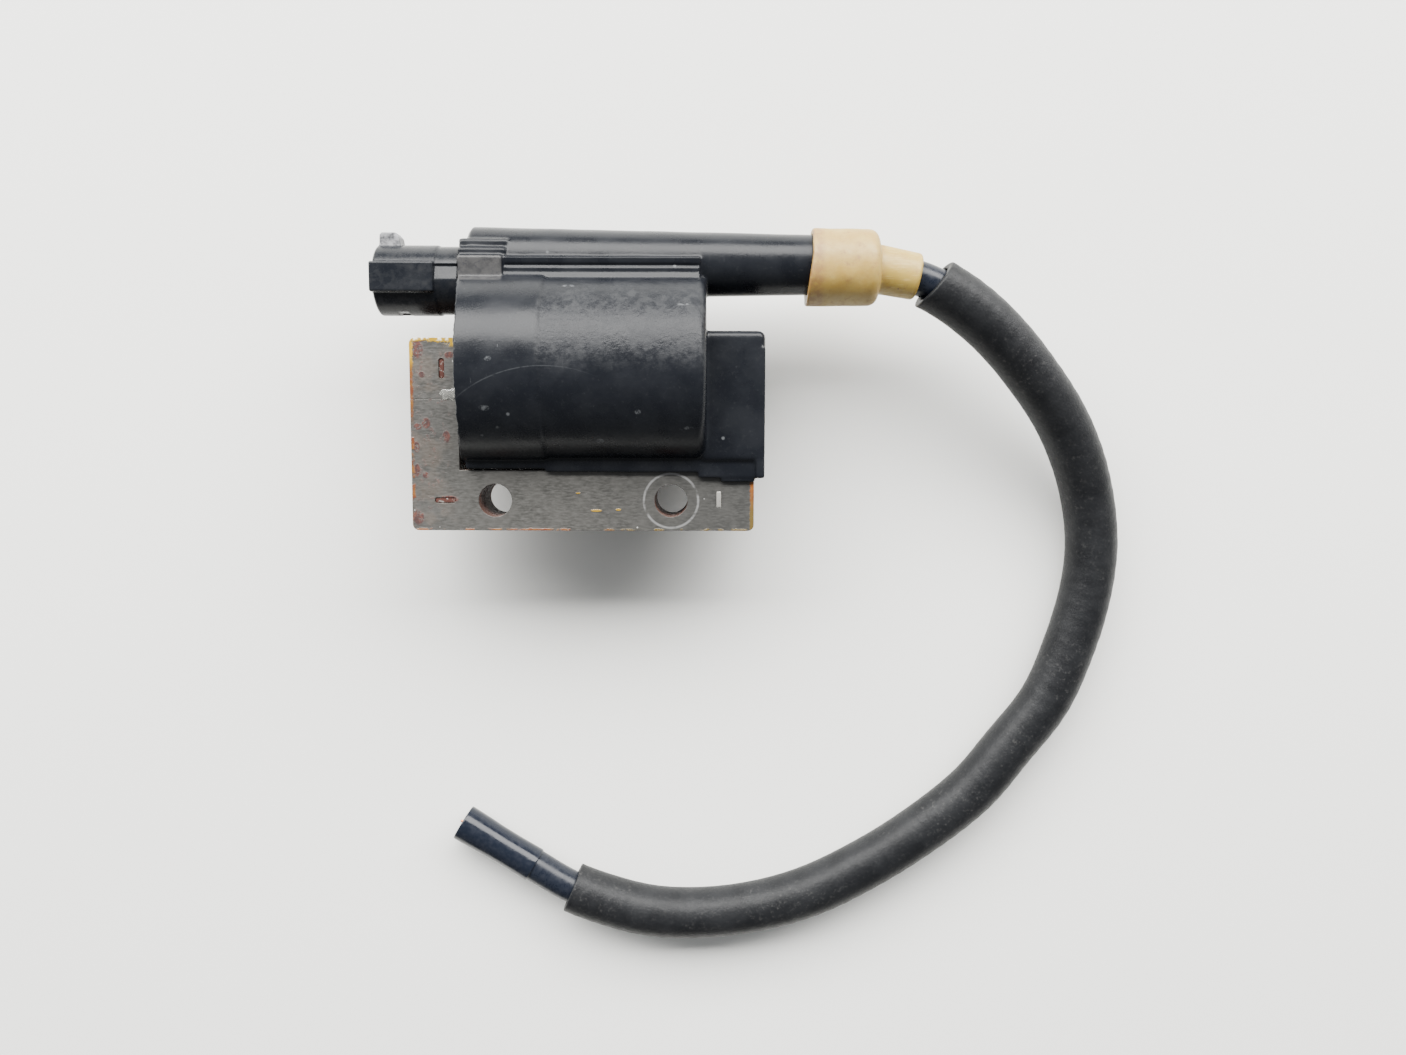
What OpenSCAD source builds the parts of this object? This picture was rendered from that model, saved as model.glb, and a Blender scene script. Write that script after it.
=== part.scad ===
// Ignition coil: a two pin connector, a potted coil on a closed laminated core, and a high tension
// lead in a loose protective hose.
// Frame: the origin is midway between the two mounting holes, on the underside of the core.
// X runs along the coil towards the lead, Y from the bolted leg towards the coil, Z is up.

/* [Core] */
// Length of the core, along the coil
core_len = 68; // [60:1:84]
// Height of the lamination stack
core_thick = 13; // [10:0.5:16]
// Width of the leg that is bolted down
leg_w = 12; // [10:0.5:16]
// Width of the bar inside the coil
bar_w = 12; // [9:0.5:14.5]
// Width of each side leg
side_w = 9.5; // [8:0.5:12]
// Distance from the bolted leg to the bar
window_h = 14; // [13:0.5:18]
// Radius of the stack's outer corners
core_corner = 1.2; // [0.5:0.1:2]
// Diameter of the mounting holes
hole_d = 6.6; // [5.3:0.1:8]
// Distance between the mounting holes
hole_pitch = 35; // [24:1:44]
// Length of a lamination interlock
dimple_len = 4; // [2:0.5:5]
// Width of a lamination interlock
dimple_w = 1.1; // [0.6:0.1:1.5]
// Depth of a lamination interlock
dimple_depth = 0.3; // [0.2:0.1:0.5]
// Distance of the outer interlocks from the ends of the core
dimple_in = 7; // [5:0.5:9]

/* [Case] */
// Wall of the round coil case
case_wall = 2; // [1.5:0.1:2.4]
// Wall at the case's closed end
end_wall = 2.4; // [1.6:0.1:3]
// Radius of the edge round the closed end
case_edge = 1.8; // [0.5:0.1:2.4]
// Wall of the sleeve that the bar slides in
tunnel_wall = 1.05; // [0.8:0.05:1.2]
// Wall of the cover over the right leg
cover_wall = 1.8; // [1.2:0.1:2.4]
// Radius of the cover's corners
cover_corner = 1.2; // [0.5:0.1:1.6]
// How far the cover reaches over the bolted leg
cover_over = 1.4; // [0.8:0.1:2]
// Wall of the cover beside the bar
cover_side = 1.25; // [0.9:0.05:1.8]
// Thickness of the lip that rests on the core
lip_thick = 1; // [0.6:0.1:1.5]
// Length of the lip
lip_len = 32.6; // [20:0.1:40]
// How far the lip reaches over the bolted leg
lip_reach = 1; // [0.5:0.1:2]
// Wall of the web over the connector's bore
web_wall = 1.6; // [1.2:0.1:2.4]
// How far the web reaches past the tower's axis
web_past = 0.6; // [0:0.1:1.5]
// How far the block reaches past the connector's spigot
block_past = 1.5; // [1:0.1:2]
// How far the block round the connector stands above the web
block_step = 0.8; // [0.4:0.1:1.2]
// Length of the block round the connector
block_len = 9.8; // [8:0.1:12]
// How far the potting compound is below the case's mouth
pot_recess = 2.3; // [0.2:0.1:2.6]

/* [Tower] */
// Distance from the round case's surface to the tower's axis
tower_out = 1.6; // [1:0.1:3]
// Length of the tower past the core's right window edge
tower_reach = 32.5; // [28:0.5:36]
// Wall of the tower round the lead at its free end
tower_tip_wall = 2.05; // [1.6:0.05:2.5]
// How much the tower's diameter grows from its free end to the case's mouth
tower_taper = 3; // [1.5:0.1:4]
// Diameter of the tower's potted bore
tower_core_d = 8; // [6:0.5:8.5]
// Thickness of the wall that holds the contact stud
stud_wall = 7.5; // [5:0.5:9]
// Distance of that wall in from the coil chamber's end
stud_in = 2; // [1.5:0.1:2.5]

/* [Connector] */
// Outside diameter of the connector's barrel
con_d = 13.8; // [12.8:0.1:14.4]
// Length of the barrel outside the case
con_len = 16.7; // [15:0.1:20]
// Wall of the barrel
con_wall = 1.2; // [0.9:0.1:1.5]
// Distance of the blades' tips in from the mouth
blade_in = 2.8; // [1.5:0.1:4]
// Depth of the socket
socket_depth = 11.5; // [9:0.5:13]
// Distance from the round case's surface in to the connector's axis
con_in = 1.8; // [1:0.1:2.4]
// Step from the barrel's radius down to the spigot's
spigot_step = 0.9; // [0.6:0.1:1.4]
// Length of the spigot inside the case
spigot_len = 4.8; // [3:0.1:5.2]
// Width of a terminal blade
blade_w = 2.3; // [1.5:0.1:2.8]
// Thickness of a terminal blade
blade_t = 0.8; // [0.6:0.1:0.8]
// Distance between the two blades
blade_pitch = 5.2; // [4.9:0.1:5.6]
// Height of the keying rib above the barrel
rib_h = 0.7; // [0.4:0.1:1]
// Width of the keying rib
rib_w = 5.8; // [4:0.1:7]
// Length of the keying rib
rib_len = 12.2; // [8:0.1:13]
// Height of the locking ramp above the barrel
ramp_h = 2.4; // [1.5:0.1:3]

/* [Windings] */
// Wall of the primary bobbin
prim_wall = 0.8; // [0.6:0.1:0.9]
// Thickness of the primary winding
prim_build = 1.4; // [1:0.1:1.5]
// Thickness of the insulation tape
tape_t = 0.25; // [0.1:0.05:0.3]
// Wall of the secondary bobbin
sec_wall = 0.9; // [0.7:0.1:1]
// Number of sections in the secondary winding
sections = 8; // [6:1:10]
// Thickness of a bobbin flange
flange_t = 0.8; // [0.6:0.1:1]
// Height of the flanges above the secondary winding
flange_lip = 0.6; // [0.3:0.1:1]
// Compound round the secondary bobbin
pot_ring = 0.9; // [0.5:0.1:1.2]
// Compound between the secondary bobbin and the chamber's end
sec_room = 1.1; // [0.8:0.1:1.5]
// Compound between the primary bobbin and the chamber's end
prim_room = 0.6; // [0.4:0.1:0.8]
// How far the primary bobbin sticks out of the secondary one
prim_over = 2; // [1.5:0.1:2.5]
// Compound past the wire to the power blade
start_room = 0.5; // [0.4:0.1:0.8]
// Room for the connections at the case's mouth
wiring_room = 9.3; // [8.8:0.1:12]

/* [Lead] */
// Diameter of the high tension lead
lead_d = 7; // [6:0.5:8.5]
// Diameter of the lead's conductor
wire_d = 1.9; // [1.2:0.1:1.9]
// Wall of the protective hose
hose_wall = 1.6; // [1.2:0.1:2]
// Wall of the sleeve on the lead's cut end, where it starts
sleeve_wall0 = 0.25; // [0.2:0.05:0.4]
// Wall of the sleeve at the cut end
sleeve_wall1 = 0.5; // [0.3:0.05:0.5]

/* [Boot] */
// Wall of the boot over the tower
boot_wall = 1.7; // [1:0.1:2]
// How far the boot reaches over the tower
boot_grip = 12; // [8:0.1:14]
// Thickness of the boot's end wall
boot_end = 2; // [1.5:0.1:3]
// Radius of the boot's shoulder
boot_shoulder = 1.8; // [1:0.1:2]
// Wall of the nozzle where it leaves the boot
nozzle_wall0 = 1.2; // [1:0.05:1.6]
// Wall of the nozzle at its end
nozzle_wall1 = 1; // [0.6:0.05:1.2]
// Length of the nozzle
nozzle_len = 8.2; // [6:0.1:8.6]

/* [Clearances] */
// Gap between the U stack and the bar
joint_gap = 0.05; // [0.02:0.01:0.1]
// Gap all round the bar and the leg inside the moulding
slot_gap = 0.2; // [0.1:0.05:0.3]
// Gap between the round case and the bolted leg
leg_gap = 0.5; // [0.2:0.1:1]
// Gap between the case's mouth and the left leg
mouth_gap = 0.2; // [0.1:0.1:0.5]
// Gap between pieces that are fitted or potted together
fit_gap = 0.05; // [0.03:0.01:0.08]
// Gap round the lead in the tower and the boot
lead_gap = 0.15; // [0.1:0.05:0.2]
// Gap round the lead in the hose
hose_gap = 0.4; // [0.3:0.05:0.6]

/* [Hidden] */
$fn = 64;
eps = 0.5;

// Places of the core's pieces.
bar_y0 = leg_w / 2 + window_h;
bar_y1 = bar_y0 + bar_w;
coil_y = (bar_y0 + bar_y1) / 2;
mid_z = core_thick / 2;
win_x = core_len / 2 - side_w;

// Places of the case, its cavity and its cover.
case_x0 = -win_x + mouth_gap;
case_x1 = win_x - slot_gap / 2;
case_r = window_h + bar_w / 2 - leg_gap;
bore_r = case_r - case_wall;
bore_x1 = case_x1 - end_wall;
slot_w = bar_w + 2 * slot_gap;
slot_h = core_thick + 2 * slot_gap;
tunnel_r = norm([slot_w, slot_h]) / 2 + tunnel_wall;
cover_x1 = core_len / 2 + slot_gap + cover_wall;
cover_y0 = leg_w / 2 - cover_over;
cover_y1 = bar_y1 + slot_gap + cover_side;
lip_x0 = case_x1 - lip_len;

// Places of the tower and of the stud inside it.
tower_y = coil_y + case_r + tower_out;
tower_x1 = win_x + tower_reach;
lead_bore_r = lead_d / 2 + lead_gap;
tower_d1 = 2 * (lead_bore_r + tower_tip_wall);
tower_d0 = tower_d1 + tower_taper;
stud_x0 = bore_x1 - stud_in;
stud_x1 = stud_x0 + stud_wall;
stud_r = 1.5;
stud_head_r = 2.5;
stud_head_t = 1.6;
spike_r = wire_d / 2 - 0.15;
spike_len = 6;
channel_len = 6;
channel_half = 3;

// Places of the connector.
con_y = coil_y + case_r - con_in;
spigot_d = con_d - 2 * spigot_step;
con_x0 = case_x0 - con_len;
spigot_x1 = case_x0 + spigot_len;
tail_len = 2.6;
blade_x0 = con_x0 + blade_in;
blade_x1 = spigot_x1 + tail_len;
con_bore_r = spigot_d / 2 + 2 * fit_gap;
web_half = con_bore_r + web_wall;
block_half = web_half + block_step;
ramp_len = 3.8;
ramp_slope = 1.2;
ramp_w = 4;
ramp_in = 0.2;

// Radii and places of the bobbins and windings.
prim_bore_r = tunnel_r + 2 * fit_gap;
prim_r0 = prim_bore_r + prim_wall;
prim_r1 = prim_r0 + prim_build;
tape_r1 = prim_r1 + tape_t;
sec_bore_r = tape_r1 + 4 * fit_gap;
sec_r0 = sec_bore_r + sec_wall;
flange_r = bore_r - pot_ring;
sec_r1 = flange_r - flange_lip;
sec_x0 = case_x0 + wiring_room;
sec_x1 = bore_x1 - sec_room;
sec_pitch = (sec_x1 - sec_x0 - flange_t) / sections;
prim_x0 = sec_x0 - prim_over;
prim_x1 = bore_x1 - prim_room;
notch_w = 1.2;

// Heights of the two blades, and the wires between the windings, the blades and the tower.
function blade_z(side) = mid_z + side * blade_pitch / 2;
wire_r = 0.3;
start_wire_r = 0.24;
link_r = 0.4;
solder_r = 0.7;
solder_h = 0.8;
wire_y = coil_y + sqrt(pow((prim_r0 + prim_r1) / 2, 2) - pow(blade_pitch / 2, 2));
wire_x = blade_x1 - tail_len / 2;
start_x = sec_x0 + sec_pitch / 2 + flange_t / 2;
start_y = coil_y + sqrt(pow(sec_r1, 2) - pow(blade_pitch / 2, 2)) + fit_gap;
link_x = sec_x1 - sec_pitch / 2 - flange_t / 2;
con_bore_x1 = start_x + start_room;
function prim_wire_pts(side) = [
    [prim_x0 + flange_t, wire_y, blade_z(side)],
    [wire_x, wire_y, blade_z(side)],
    [wire_x, con_y - blade_w / 2, blade_z(side)]
];
start_wire_pts = [
    [start_x, start_y, blade_z(1)],
    [start_x, con_y, blade_z(1)],
    [blade_x1, con_y, blade_z(1)]
];
link_pts = [
    [link_x, coil_y + sec_r1 + fit_gap, mid_z],
    [link_x, tower_y - stud_head_r, mid_z]
];

// Route of the lead's free stretch, measured from the centre of the tower's mouth. The last
// stretch, past the hose, lies in the end sleeve.
FREE_ROUTE = [
    [2, -0.8, 0], [10, -2.3, 0], [13.5, -3.7, 0], [22, -9, -1], [29, -15, -2.5],
    [35.5, -22, -4.5], [42, -30, -7.5], [47, -39, -10], [50.5, -48.5, -12.5],
    [52, -58.5, -13.5], [51, -69.5, -14], [48, -80.5, -14], [43, -93, -14],
    [35, -103.5, -14], [27.5, -113, -14], [14, -124, -14], [3, -131, -14],
    [-9, -137, -14], [-21, -140.5, -14], [-33, -142, -14], [-45, -141.5, -14],
    [-56, -138.5, -14], [-62.5, -136, -14], [-71, -131, -14.5], [-87, -121.5, -15.5]
];
// The points of the free stretch at which the hose starts and ends.
HOSE_FIRST = 2;
HOSE_LAST = 22;
tower_mouth = [tower_x1, tower_y, mid_z];
free_pts = [for (p = FREE_ROUTE) tower_mouth + p];
lead_x0 = stud_x1 + 2 * fit_gap;
wire_x0 = stud_x1 + spike_len + 2 * fit_gap;
lead_pts = concat([[lead_x0, tower_y, mid_z], tower_mouth], free_pts);
wire_pts = concat([[wire_x0, tower_y, mid_z], tower_mouth], free_pts);
hose_pts = [for (i = [HOSE_FIRST : HOSE_LAST]) free_pts[i]];
hose_bore_r = lead_d / 2 + hose_gap;
lead_tip = lead_pts[len(lead_pts) - 1];
lead_last = lead_pts[len(lead_pts) - 2];
SIDES = 12;

// Direction of a path at one of its points, and a ring of points square to it.
function unit(v) = v / norm(v);
function heading(pts, i) = unit(pts[min(i + 1, len(pts) - 1)] - pts[max(i - 1, 0)]);
function ring(pts, i, r) =
    let (t = heading(pts, i), side = unit(cross([0, 0, 1], t)), up = cross(t, side))
    [for (k = [0 : SIDES - 1]) pts[i] + r * (cos(k * 360 / SIDES) * side + sin(k * 360 / SIDES) * up)];
function at(i, k) = i * SIDES + k % SIDES;

// A solid rod swept along a path.
module swept_rod(pts, r) {
    n = len(pts);
    skin = [for (i = [0 : n - 1]) each ring(pts, i, r)];
    walls = [for (i = [0 : n - 2], k = [0 : SIDES - 1])
        [at(i, k), at(i, k + 1), at(i + 1, k + 1), at(i + 1, k)]];
    first = [[for (k = [0 : SIDES - 1]) at(0, SIDES - 1 - k)]];
    last = [[for (k = [0 : SIDES - 1]) at(n - 1, k)]];
    polyhedron(skin, concat(walls, first, last));
}

// A tube swept along a path; each end can have its own outer radius.
module swept_tube(pts, r_start, r_end, bore_r) {
    n = len(pts);
    outer = [for (i = [0 : n - 1]) each ring(pts, i, r_start + (r_end - r_start) * i / (n - 1))];
    inner = [for (i = [0 : n - 1]) each ring(pts, i, bore_r)];
    in = n * SIDES;
    out_walls = [for (i = [0 : n - 2], k = [0 : SIDES - 1])
        [at(i, k), at(i, k + 1), at(i + 1, k + 1), at(i + 1, k)]];
    in_walls = [for (i = [0 : n - 2], k = [0 : SIDES - 1])
        [in + at(i + 1, k), in + at(i + 1, k + 1), in + at(i, k + 1), in + at(i, k)]];
    first = [for (k = [0 : SIDES - 1]) [at(0, k + 1), at(0, k), in + at(0, k), in + at(0, k + 1)]];
    last = [for (k = [0 : SIDES - 1])
        [at(n - 1, k), at(n - 1, k + 1), in + at(n - 1, k + 1), in + at(n - 1, k)]];
    polyhedron(concat(outer, inner), concat(out_walls, in_walls, first, last));
}

// Turns a shape that stands on Z so that it lies along X, from x on the axis at height y.
module along_x(x, y) {
    translate([x, y, mid_z])
        rotate([0, 90, 0])
            children();
}

// A cylinder along X.
module rod_x(x0, x1, y, r) {
    along_x(x0, y)
        cylinder(h = x1 - x0, r = r);
}

// A ring along X on the coil's axis.
module coil_ring(x0, x1, r_out, r_in) {
    difference() {
        rod_x(x0, x1, coil_y, r_out);
        rod_x(x0 - eps, x1 + eps, coil_y, r_in);
    }
}

// A box from its lowest and highest corners.
module box(low, high) {
    translate(low)
        cube(high - low);
}

// A box whose vertical edges at its highest X are rounded.
module round_box(low, high, r) {
    box(low, [high.x - r, high.y, high.z]);
    box([low.x, low.y + r, low.z], [high.x, high.y - r, high.z]);
    for (y = [low.y + r, high.y - r])
        translate([high.x - r, y, low.z])
            cylinder(h = high.z - low.z, r = r);
}

// A plate whose four vertical edges are rounded.
module round_plate(low, high, r) {
    box([low.x + r, low.y, low.z], [high.x - r, high.y, high.z]);
    box([low.x, low.y + r, low.z], [high.x, high.y - r, high.z]);
    for (x = [low.x + r, high.x - r], y = [low.y + r, high.y - r])
        translate([x, y, low.z])
            cylinder(h = high.z - low.z, r = r);
}

// One lamination interlock, a shallow slot in the top sheet.
module dimple(x, y, size_x, size_y) {
    translate([x - size_x / 2, y - size_y / 2, core_thick - dimple_depth])
        cube([size_x, size_y, dimple_depth + eps]);
}

// The U shaped stack with the bolted leg.
module u_core() {
    color("darkgray")
        difference() {
            round_plate([-core_len / 2, -leg_w / 2, 0],
                        [core_len / 2, bar_y0 - joint_gap, core_thick], core_corner);
            box([-win_x, leg_w / 2, -eps], [win_x, bar_y0 + eps, core_thick + eps]);
            for (side = [-1, 1])
                translate([side * hole_pitch / 2, 0, -eps])
                    cylinder(h = core_thick + 2 * eps, d = hole_d);
            dimple(dimple_in - core_len / 2, 0, dimple_len, dimple_w);
            dimple(core_len / 2 - dimple_in, 0, dimple_w, dimple_len);
        }
}

// The bar stack that closes the core through the coil.
module bar_core() {
    color("darkgray")
        difference() {
            round_plate([-core_len / 2, bar_y0, 0], [core_len / 2, bar_y1, core_thick], core_corner);
            dimple(dimple_in - core_len / 2, coil_y, dimple_w, dimple_len);
        }
}

// The outside of the sleeve that the bar slides in.
module tunnel_outline(x0, x1, gap) {
    intersection() {
        box([x0, coil_y - slot_w / 2 - tunnel_wall - gap, mid_z - slot_h / 2 - tunnel_wall - gap],
            [x1, coil_y + slot_w / 2 + tunnel_wall + gap, mid_z + slot_h / 2 + tunnel_wall + gap]);
        rod_x(x0, x1, coil_y, tunnel_r + gap);
    }
}

// The round case body with its rounded closed end.
module case_body() {
    along_x(case_x0, coil_y)
        rotate_extrude() {
            square([case_r - case_edge, case_x1 - case_x0]);
            square([case_r, case_x1 - case_x0 - case_edge]);
            translate([case_r - case_edge, case_x1 - case_x0 - case_edge])
                circle(case_edge);
        }
}

// The cover over the core's right leg, and the lip that lies on the bolted leg.
module case_cover() {
    round_box([case_x1 - end_wall / 2, cover_y0, -slot_gap - cover_wall],
              [cover_x1, cover_y1, core_thick + slot_gap + cover_wall], cover_corner);
    box([lip_x0, leg_w / 2 - lip_reach, core_thick + slot_gap],
        [case_x1, leg_w / 2 + 2 * lip_reach, core_thick + slot_gap + lip_thick]);
}

// The tower, the web under it and the block round the connector's spigot.
module case_tower() {
    along_x(case_x0, tower_y)
        cylinder(h = tower_x1 - case_x0, d1 = tower_d0, d2 = tower_d1);
    box([case_x0, coil_y + bar_w / 2, mid_z - web_half],
        [case_x1 - case_edge / 2, tower_y + web_past, mid_z + web_half]);
    box([case_x0, coil_y + bar_w / 2, mid_z - block_half],
        [case_x0 + block_len, con_y + spigot_d / 2 + block_past, mid_z + block_half]);
}

// The spaces inside the case that hold the coil, the connections and the compound.
module pot_space(x0, shrink) {
    rod_x(x0, bore_x1 - shrink, coil_y, bore_r - shrink);
    rod_x(x0, con_bore_x1 - shrink, con_y, con_bore_r - shrink);
    rod_x(spigot_x1 + shrink, stud_x0 - shrink, tower_y, tower_core_d / 2 - shrink);
    box([stud_x0 - channel_len, coil_y, mid_z - channel_half + shrink],
        [stud_x0 - shrink, tower_y, mid_z + channel_half - shrink]);
}

// The moulded case: coil chamber, bar sleeve, leg cover, tower and connector block in one piece.
module coil_case() {
    color([0.09, 0.09, 0.1])
        difference() {
            union() {
                difference() {
                    union() {
                        case_body();
                        case_cover();
                        case_tower();
                    }
                    pot_space(case_x0 - eps, 0);
                }
                tunnel_outline(case_x0, bore_x1 + end_wall / 2, 0);
            }
            box([case_x0 - eps, coil_y - slot_w / 2, mid_z - slot_h / 2],
                [core_len / 2, coil_y + slot_w / 2, mid_z + slot_h / 2]);
            box([case_x1, cover_y0 - eps, -slot_gap],
                [core_len / 2 + slot_gap, bar_y1 + slot_gap, core_thick + slot_gap]);
            box([bore_x1, cover_y0 - eps, -slot_gap],
                [core_len / 2, leg_w / 2 + slot_gap, core_thick + slot_gap]);
            rod_x(stud_x0 - eps, stud_x1 + eps, tower_y, stud_r + fit_gap);
            rod_x(stud_x1, tower_x1 + eps, tower_y, lead_bore_r);
        }
}

// One terminal blade, or with a gap the slot for it.
module blade(side, gap) {
    box([blade_x0 - gap, con_y - blade_w / 2 - gap, blade_z(side) - blade_t / 2 - gap],
        [blade_x1 + gap, con_y + blade_w / 2 + gap, blade_z(side) + blade_t / 2 + gap]);
}

module terminal_power() {
    color("silver")
        blade(1, 0);
}

module terminal_signal() {
    color("silver")
        blade(-1, 0);
}

// The connector's barrel with its socket, keying rib and locking ramp.
module connector_shell() {
    ramp_x0 = con_x0 + ramp_in;
    color([0.12, 0.12, 0.13])
        difference() {
            union() {
                rod_x(con_x0, case_x0, con_y, con_d / 2);
                rod_x(case_x0, spigot_x1, con_y, spigot_d / 2);
                box([con_x0, con_y - rib_w / 2, mid_z + con_d / 4],
                    [con_x0 + rib_len, con_y + rib_w / 2, mid_z + con_d / 2 + rib_h]);
                translate([0, con_y, mid_z - ramp_w / 2])
                    linear_extrude(ramp_w)
                        polygon([[ramp_x0, con_d / 4], [ramp_x0, con_d / 2 + ramp_h],
                                 [ramp_x0 + ramp_len, con_d / 2 + ramp_h],
                                 [ramp_x0 + ramp_len + ramp_slope, con_d / 4]]);
            }
            rod_x(con_x0 - eps, con_x0 + socket_depth, con_y, con_d / 2 - con_wall);
            for (side = [-1, 1])
                blade(side, fit_gap);
        }
}

// Bobbin of the primary winding, with slots in its left flange for the two wires.
module primary_bobbin() {
    color([0.75, 0.72, 0.62])
        difference() {
            union() {
                coil_ring(prim_x0, prim_x1, prim_r0, prim_bore_r);
                coil_ring(prim_x0, prim_x0 + flange_t, tape_r1, prim_bore_r);
                coil_ring(prim_x1 - flange_t, prim_x1, tape_r1, prim_bore_r);
            }
            for (side = [-1, 1])
                box([prim_x0 - eps, wire_y - notch_w / 2, blade_z(side) - notch_w / 2],
                    [prim_x0 + flange_t + eps, coil_y + tape_r1 + eps, blade_z(side) + notch_w / 2]);
        }
}

module primary_winding() {
    color([0.72, 0.36, 0.2])
        coil_ring(prim_x0 + flange_t + fit_gap, prim_x1 - flange_t - fit_gap,
                  prim_r1 - fit_gap, prim_r0 + fit_gap);
}

module insulation_tape() {
    color([0.85, 0.75, 0.35])
        coil_ring(prim_x0 + flange_t + fit_gap, prim_x1 - flange_t - fit_gap, tape_r1, prim_r1);
}

// The slot along the top of the secondary that its crossings run in.
module crossing(width, r_low, r_high) {
    box([sec_x0 + flange_t + fit_gap, coil_y - width / 2, mid_z + r_low],
        [sec_x1 - flange_t - fit_gap, coil_y + width / 2, mid_z + r_high]);
}

// Bobbin of the secondary winding: a tube with a flange between every two sections.
module secondary_bobbin() {
    color([0.8, 0.78, 0.7])
        difference() {
            union() {
                coil_ring(sec_x0, sec_x1, sec_r0, sec_bore_r);
                for (i = [0 : sections])
                    coil_ring(sec_x0 + i * sec_pitch, sec_x0 + i * sec_pitch + flange_t,
                              flange_r, sec_bore_r);
            }
            crossing(notch_w, (sec_r0 + sec_r1) / 2 - notch_w / 2, flange_r + eps);
        }
}

// The secondary winding's sections, joined by the wire that crosses each flange.
module secondary_winding() {
    color([0.62, 0.28, 0.15]) {
        for (i = [0 : sections - 1])
            coil_ring(sec_x0 + i * sec_pitch + flange_t + fit_gap,
                      sec_x0 + (i + 1) * sec_pitch - fit_gap, sec_r1, sec_r0 + fit_gap);
        crossing(notch_w / 2, (sec_r0 + sec_r1) / 2, (sec_r0 + sec_r1) / 2 + notch_w / 2);
    }
}

// A round wire along a path of straight stretches, each a little long so that the corners close.
module wire(pts, r) {
    last = len(pts) - 2;
    for (i = [0 : last]) {
        step = pts[i + 1] - pts[i];
        back = i > 0 ? r : 0;
        ahead = i < last ? r : 0;
        translate(pts[i] - back * unit(step))
            rotate([0, acos(step.z / norm(step)), atan2(step.y, step.x)])
                cylinder(h = norm(step) + back + ahead, r = r);
    }
}

// The square channel in the compound that a wire along X and Y lies in.
module wire_channel(pts, half) {
    for (i = [0 : len(pts) - 2]) {
        a = pts[i];
        b = pts[i + 1];
        box([min(a.x, b.x) - half, min(a.y, b.y) - half, a.z - half],
            [max(a.x, b.x) + half, max(a.y, b.y) + half, a.z + half]);
    }
}

module primary_wire_power() {
    color([0.72, 0.36, 0.2])
        wire(prim_wire_pts(1), wire_r);
}

module primary_wire_signal() {
    color([0.72, 0.36, 0.2])
        wire(prim_wire_pts(-1), wire_r);
}

module secondary_start_wire() {
    color([0.62, 0.28, 0.15])
        wire(start_wire_pts, start_wire_r);
}

module hv_link() {
    color("silver")
        wire(link_pts, link_r);
}

// The solder that joins each primary wire's end to its blade.
module solder_joints() {
    color("lightgray")
        for (side = [-1, 1])
            translate([wire_x, con_y - blade_w / 2, blade_z(side)])
                rotate([90, 0, 0])
                    difference() {
                        cylinder(h = solder_h, r = solder_r);
                        translate([0, 0, -eps])
                            cylinder(h = solder_h + 2 * eps, r = wire_r);
                    }
}

// The contact stud: a head in the compound, a shank in the wall and a spike in the lead.
module stud(gap) {
    head_x0 = link_x - stud_head_t / 2;
    rod_x(head_x0 - gap, head_x0 + stud_head_t + gap, tower_y, stud_head_r + gap);
    rod_x(head_x0, stud_x1, tower_y, stud_r + gap);
    rod_x(stud_x1 - eps, stud_x1 + spike_len, tower_y, spike_r);
}

module hv_contact() {
    color("gold")
        stud(0);
}

// The compound that fills the case round the coil and its connections.
module potting_compound() {
    color([0.13, 0.13, 0.14])
        difference() {
            pot_space(case_x0 + pot_recess, fit_gap);
            tunnel_outline(case_x0, bore_x1, fit_gap);
            rod_x(sec_x0 - fit_gap, sec_x1 + fit_gap, coil_y, flange_r + fit_gap);
            rod_x(prim_x0 - fit_gap, prim_x1 + fit_gap, coil_y, tape_r1 + fit_gap);
            rod_x(case_x0, spigot_x1 + fit_gap, con_y, con_bore_r);
            for (side = [-1, 1]) {
                blade(side, fit_gap);
                wire_channel(prim_wire_pts(side), wire_r + fit_gap);
                box([wire_x - solder_r - fit_gap, con_y - blade_w / 2 - solder_h - fit_gap,
                     blade_z(side) - solder_r - fit_gap],
                    [wire_x + solder_r + fit_gap, con_y, blade_z(side) + solder_r + fit_gap]);
            }
            wire_channel(start_wire_pts, wire_r + fit_gap);
            wire_channel(link_pts, link_r + fit_gap);
            stud(fit_gap);
        }
}

// The soft boot over the tower's end, with a nozzle that follows the lead's first bend.
module lead_boot() {
    boot_x0 = tower_x1 - boot_grip;
    boot_x1 = tower_x1 + boot_end;
    slope = tower_taper / 2 / (tower_x1 - case_x0);
    boot_r = tower_d1 / 2 + slope * boot_grip + boot_wall;
    nozzle_from = lead_pts[2];
    nozzle_turn = atan2(lead_pts[3].y - nozzle_from.y, lead_pts[3].x - nozzle_from.x);
    color([0.84, 0.75, 0.55])
        difference() {
            union() {
                along_x(boot_x0, tower_y)
                    rotate_extrude() {
                        square([boot_r - boot_shoulder, boot_x1 - boot_x0]);
                        square([boot_r, boot_x1 - boot_x0 - boot_shoulder]);
                        translate([boot_r - boot_shoulder, boot_x1 - boot_x0 - boot_shoulder])
                            circle(boot_shoulder);
                    }
                translate(nozzle_from)
                    rotate([0, 90, nozzle_turn])
                        translate([0, 0, -boot_end / 2])
                            cylinder(h = nozzle_len + boot_end / 2, r1 = lead_bore_r + nozzle_wall0,
                                     r2 = lead_bore_r + nozzle_wall1);
            }
            along_x(boot_x0 - eps, tower_y)
                cylinder(h = boot_grip + eps, r1 = tower_d1 / 2 + slope * (boot_grip + eps) + fit_gap,
                         r2 = tower_d1 / 2 + fit_gap);
            translate(nozzle_from)
                rotate([0, 90, nozzle_turn])
                    translate([0, 0, -boot_end - 2 * eps])
                        cylinder(h = nozzle_len + boot_end + 3 * eps, r = lead_bore_r);
        }
}

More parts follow.
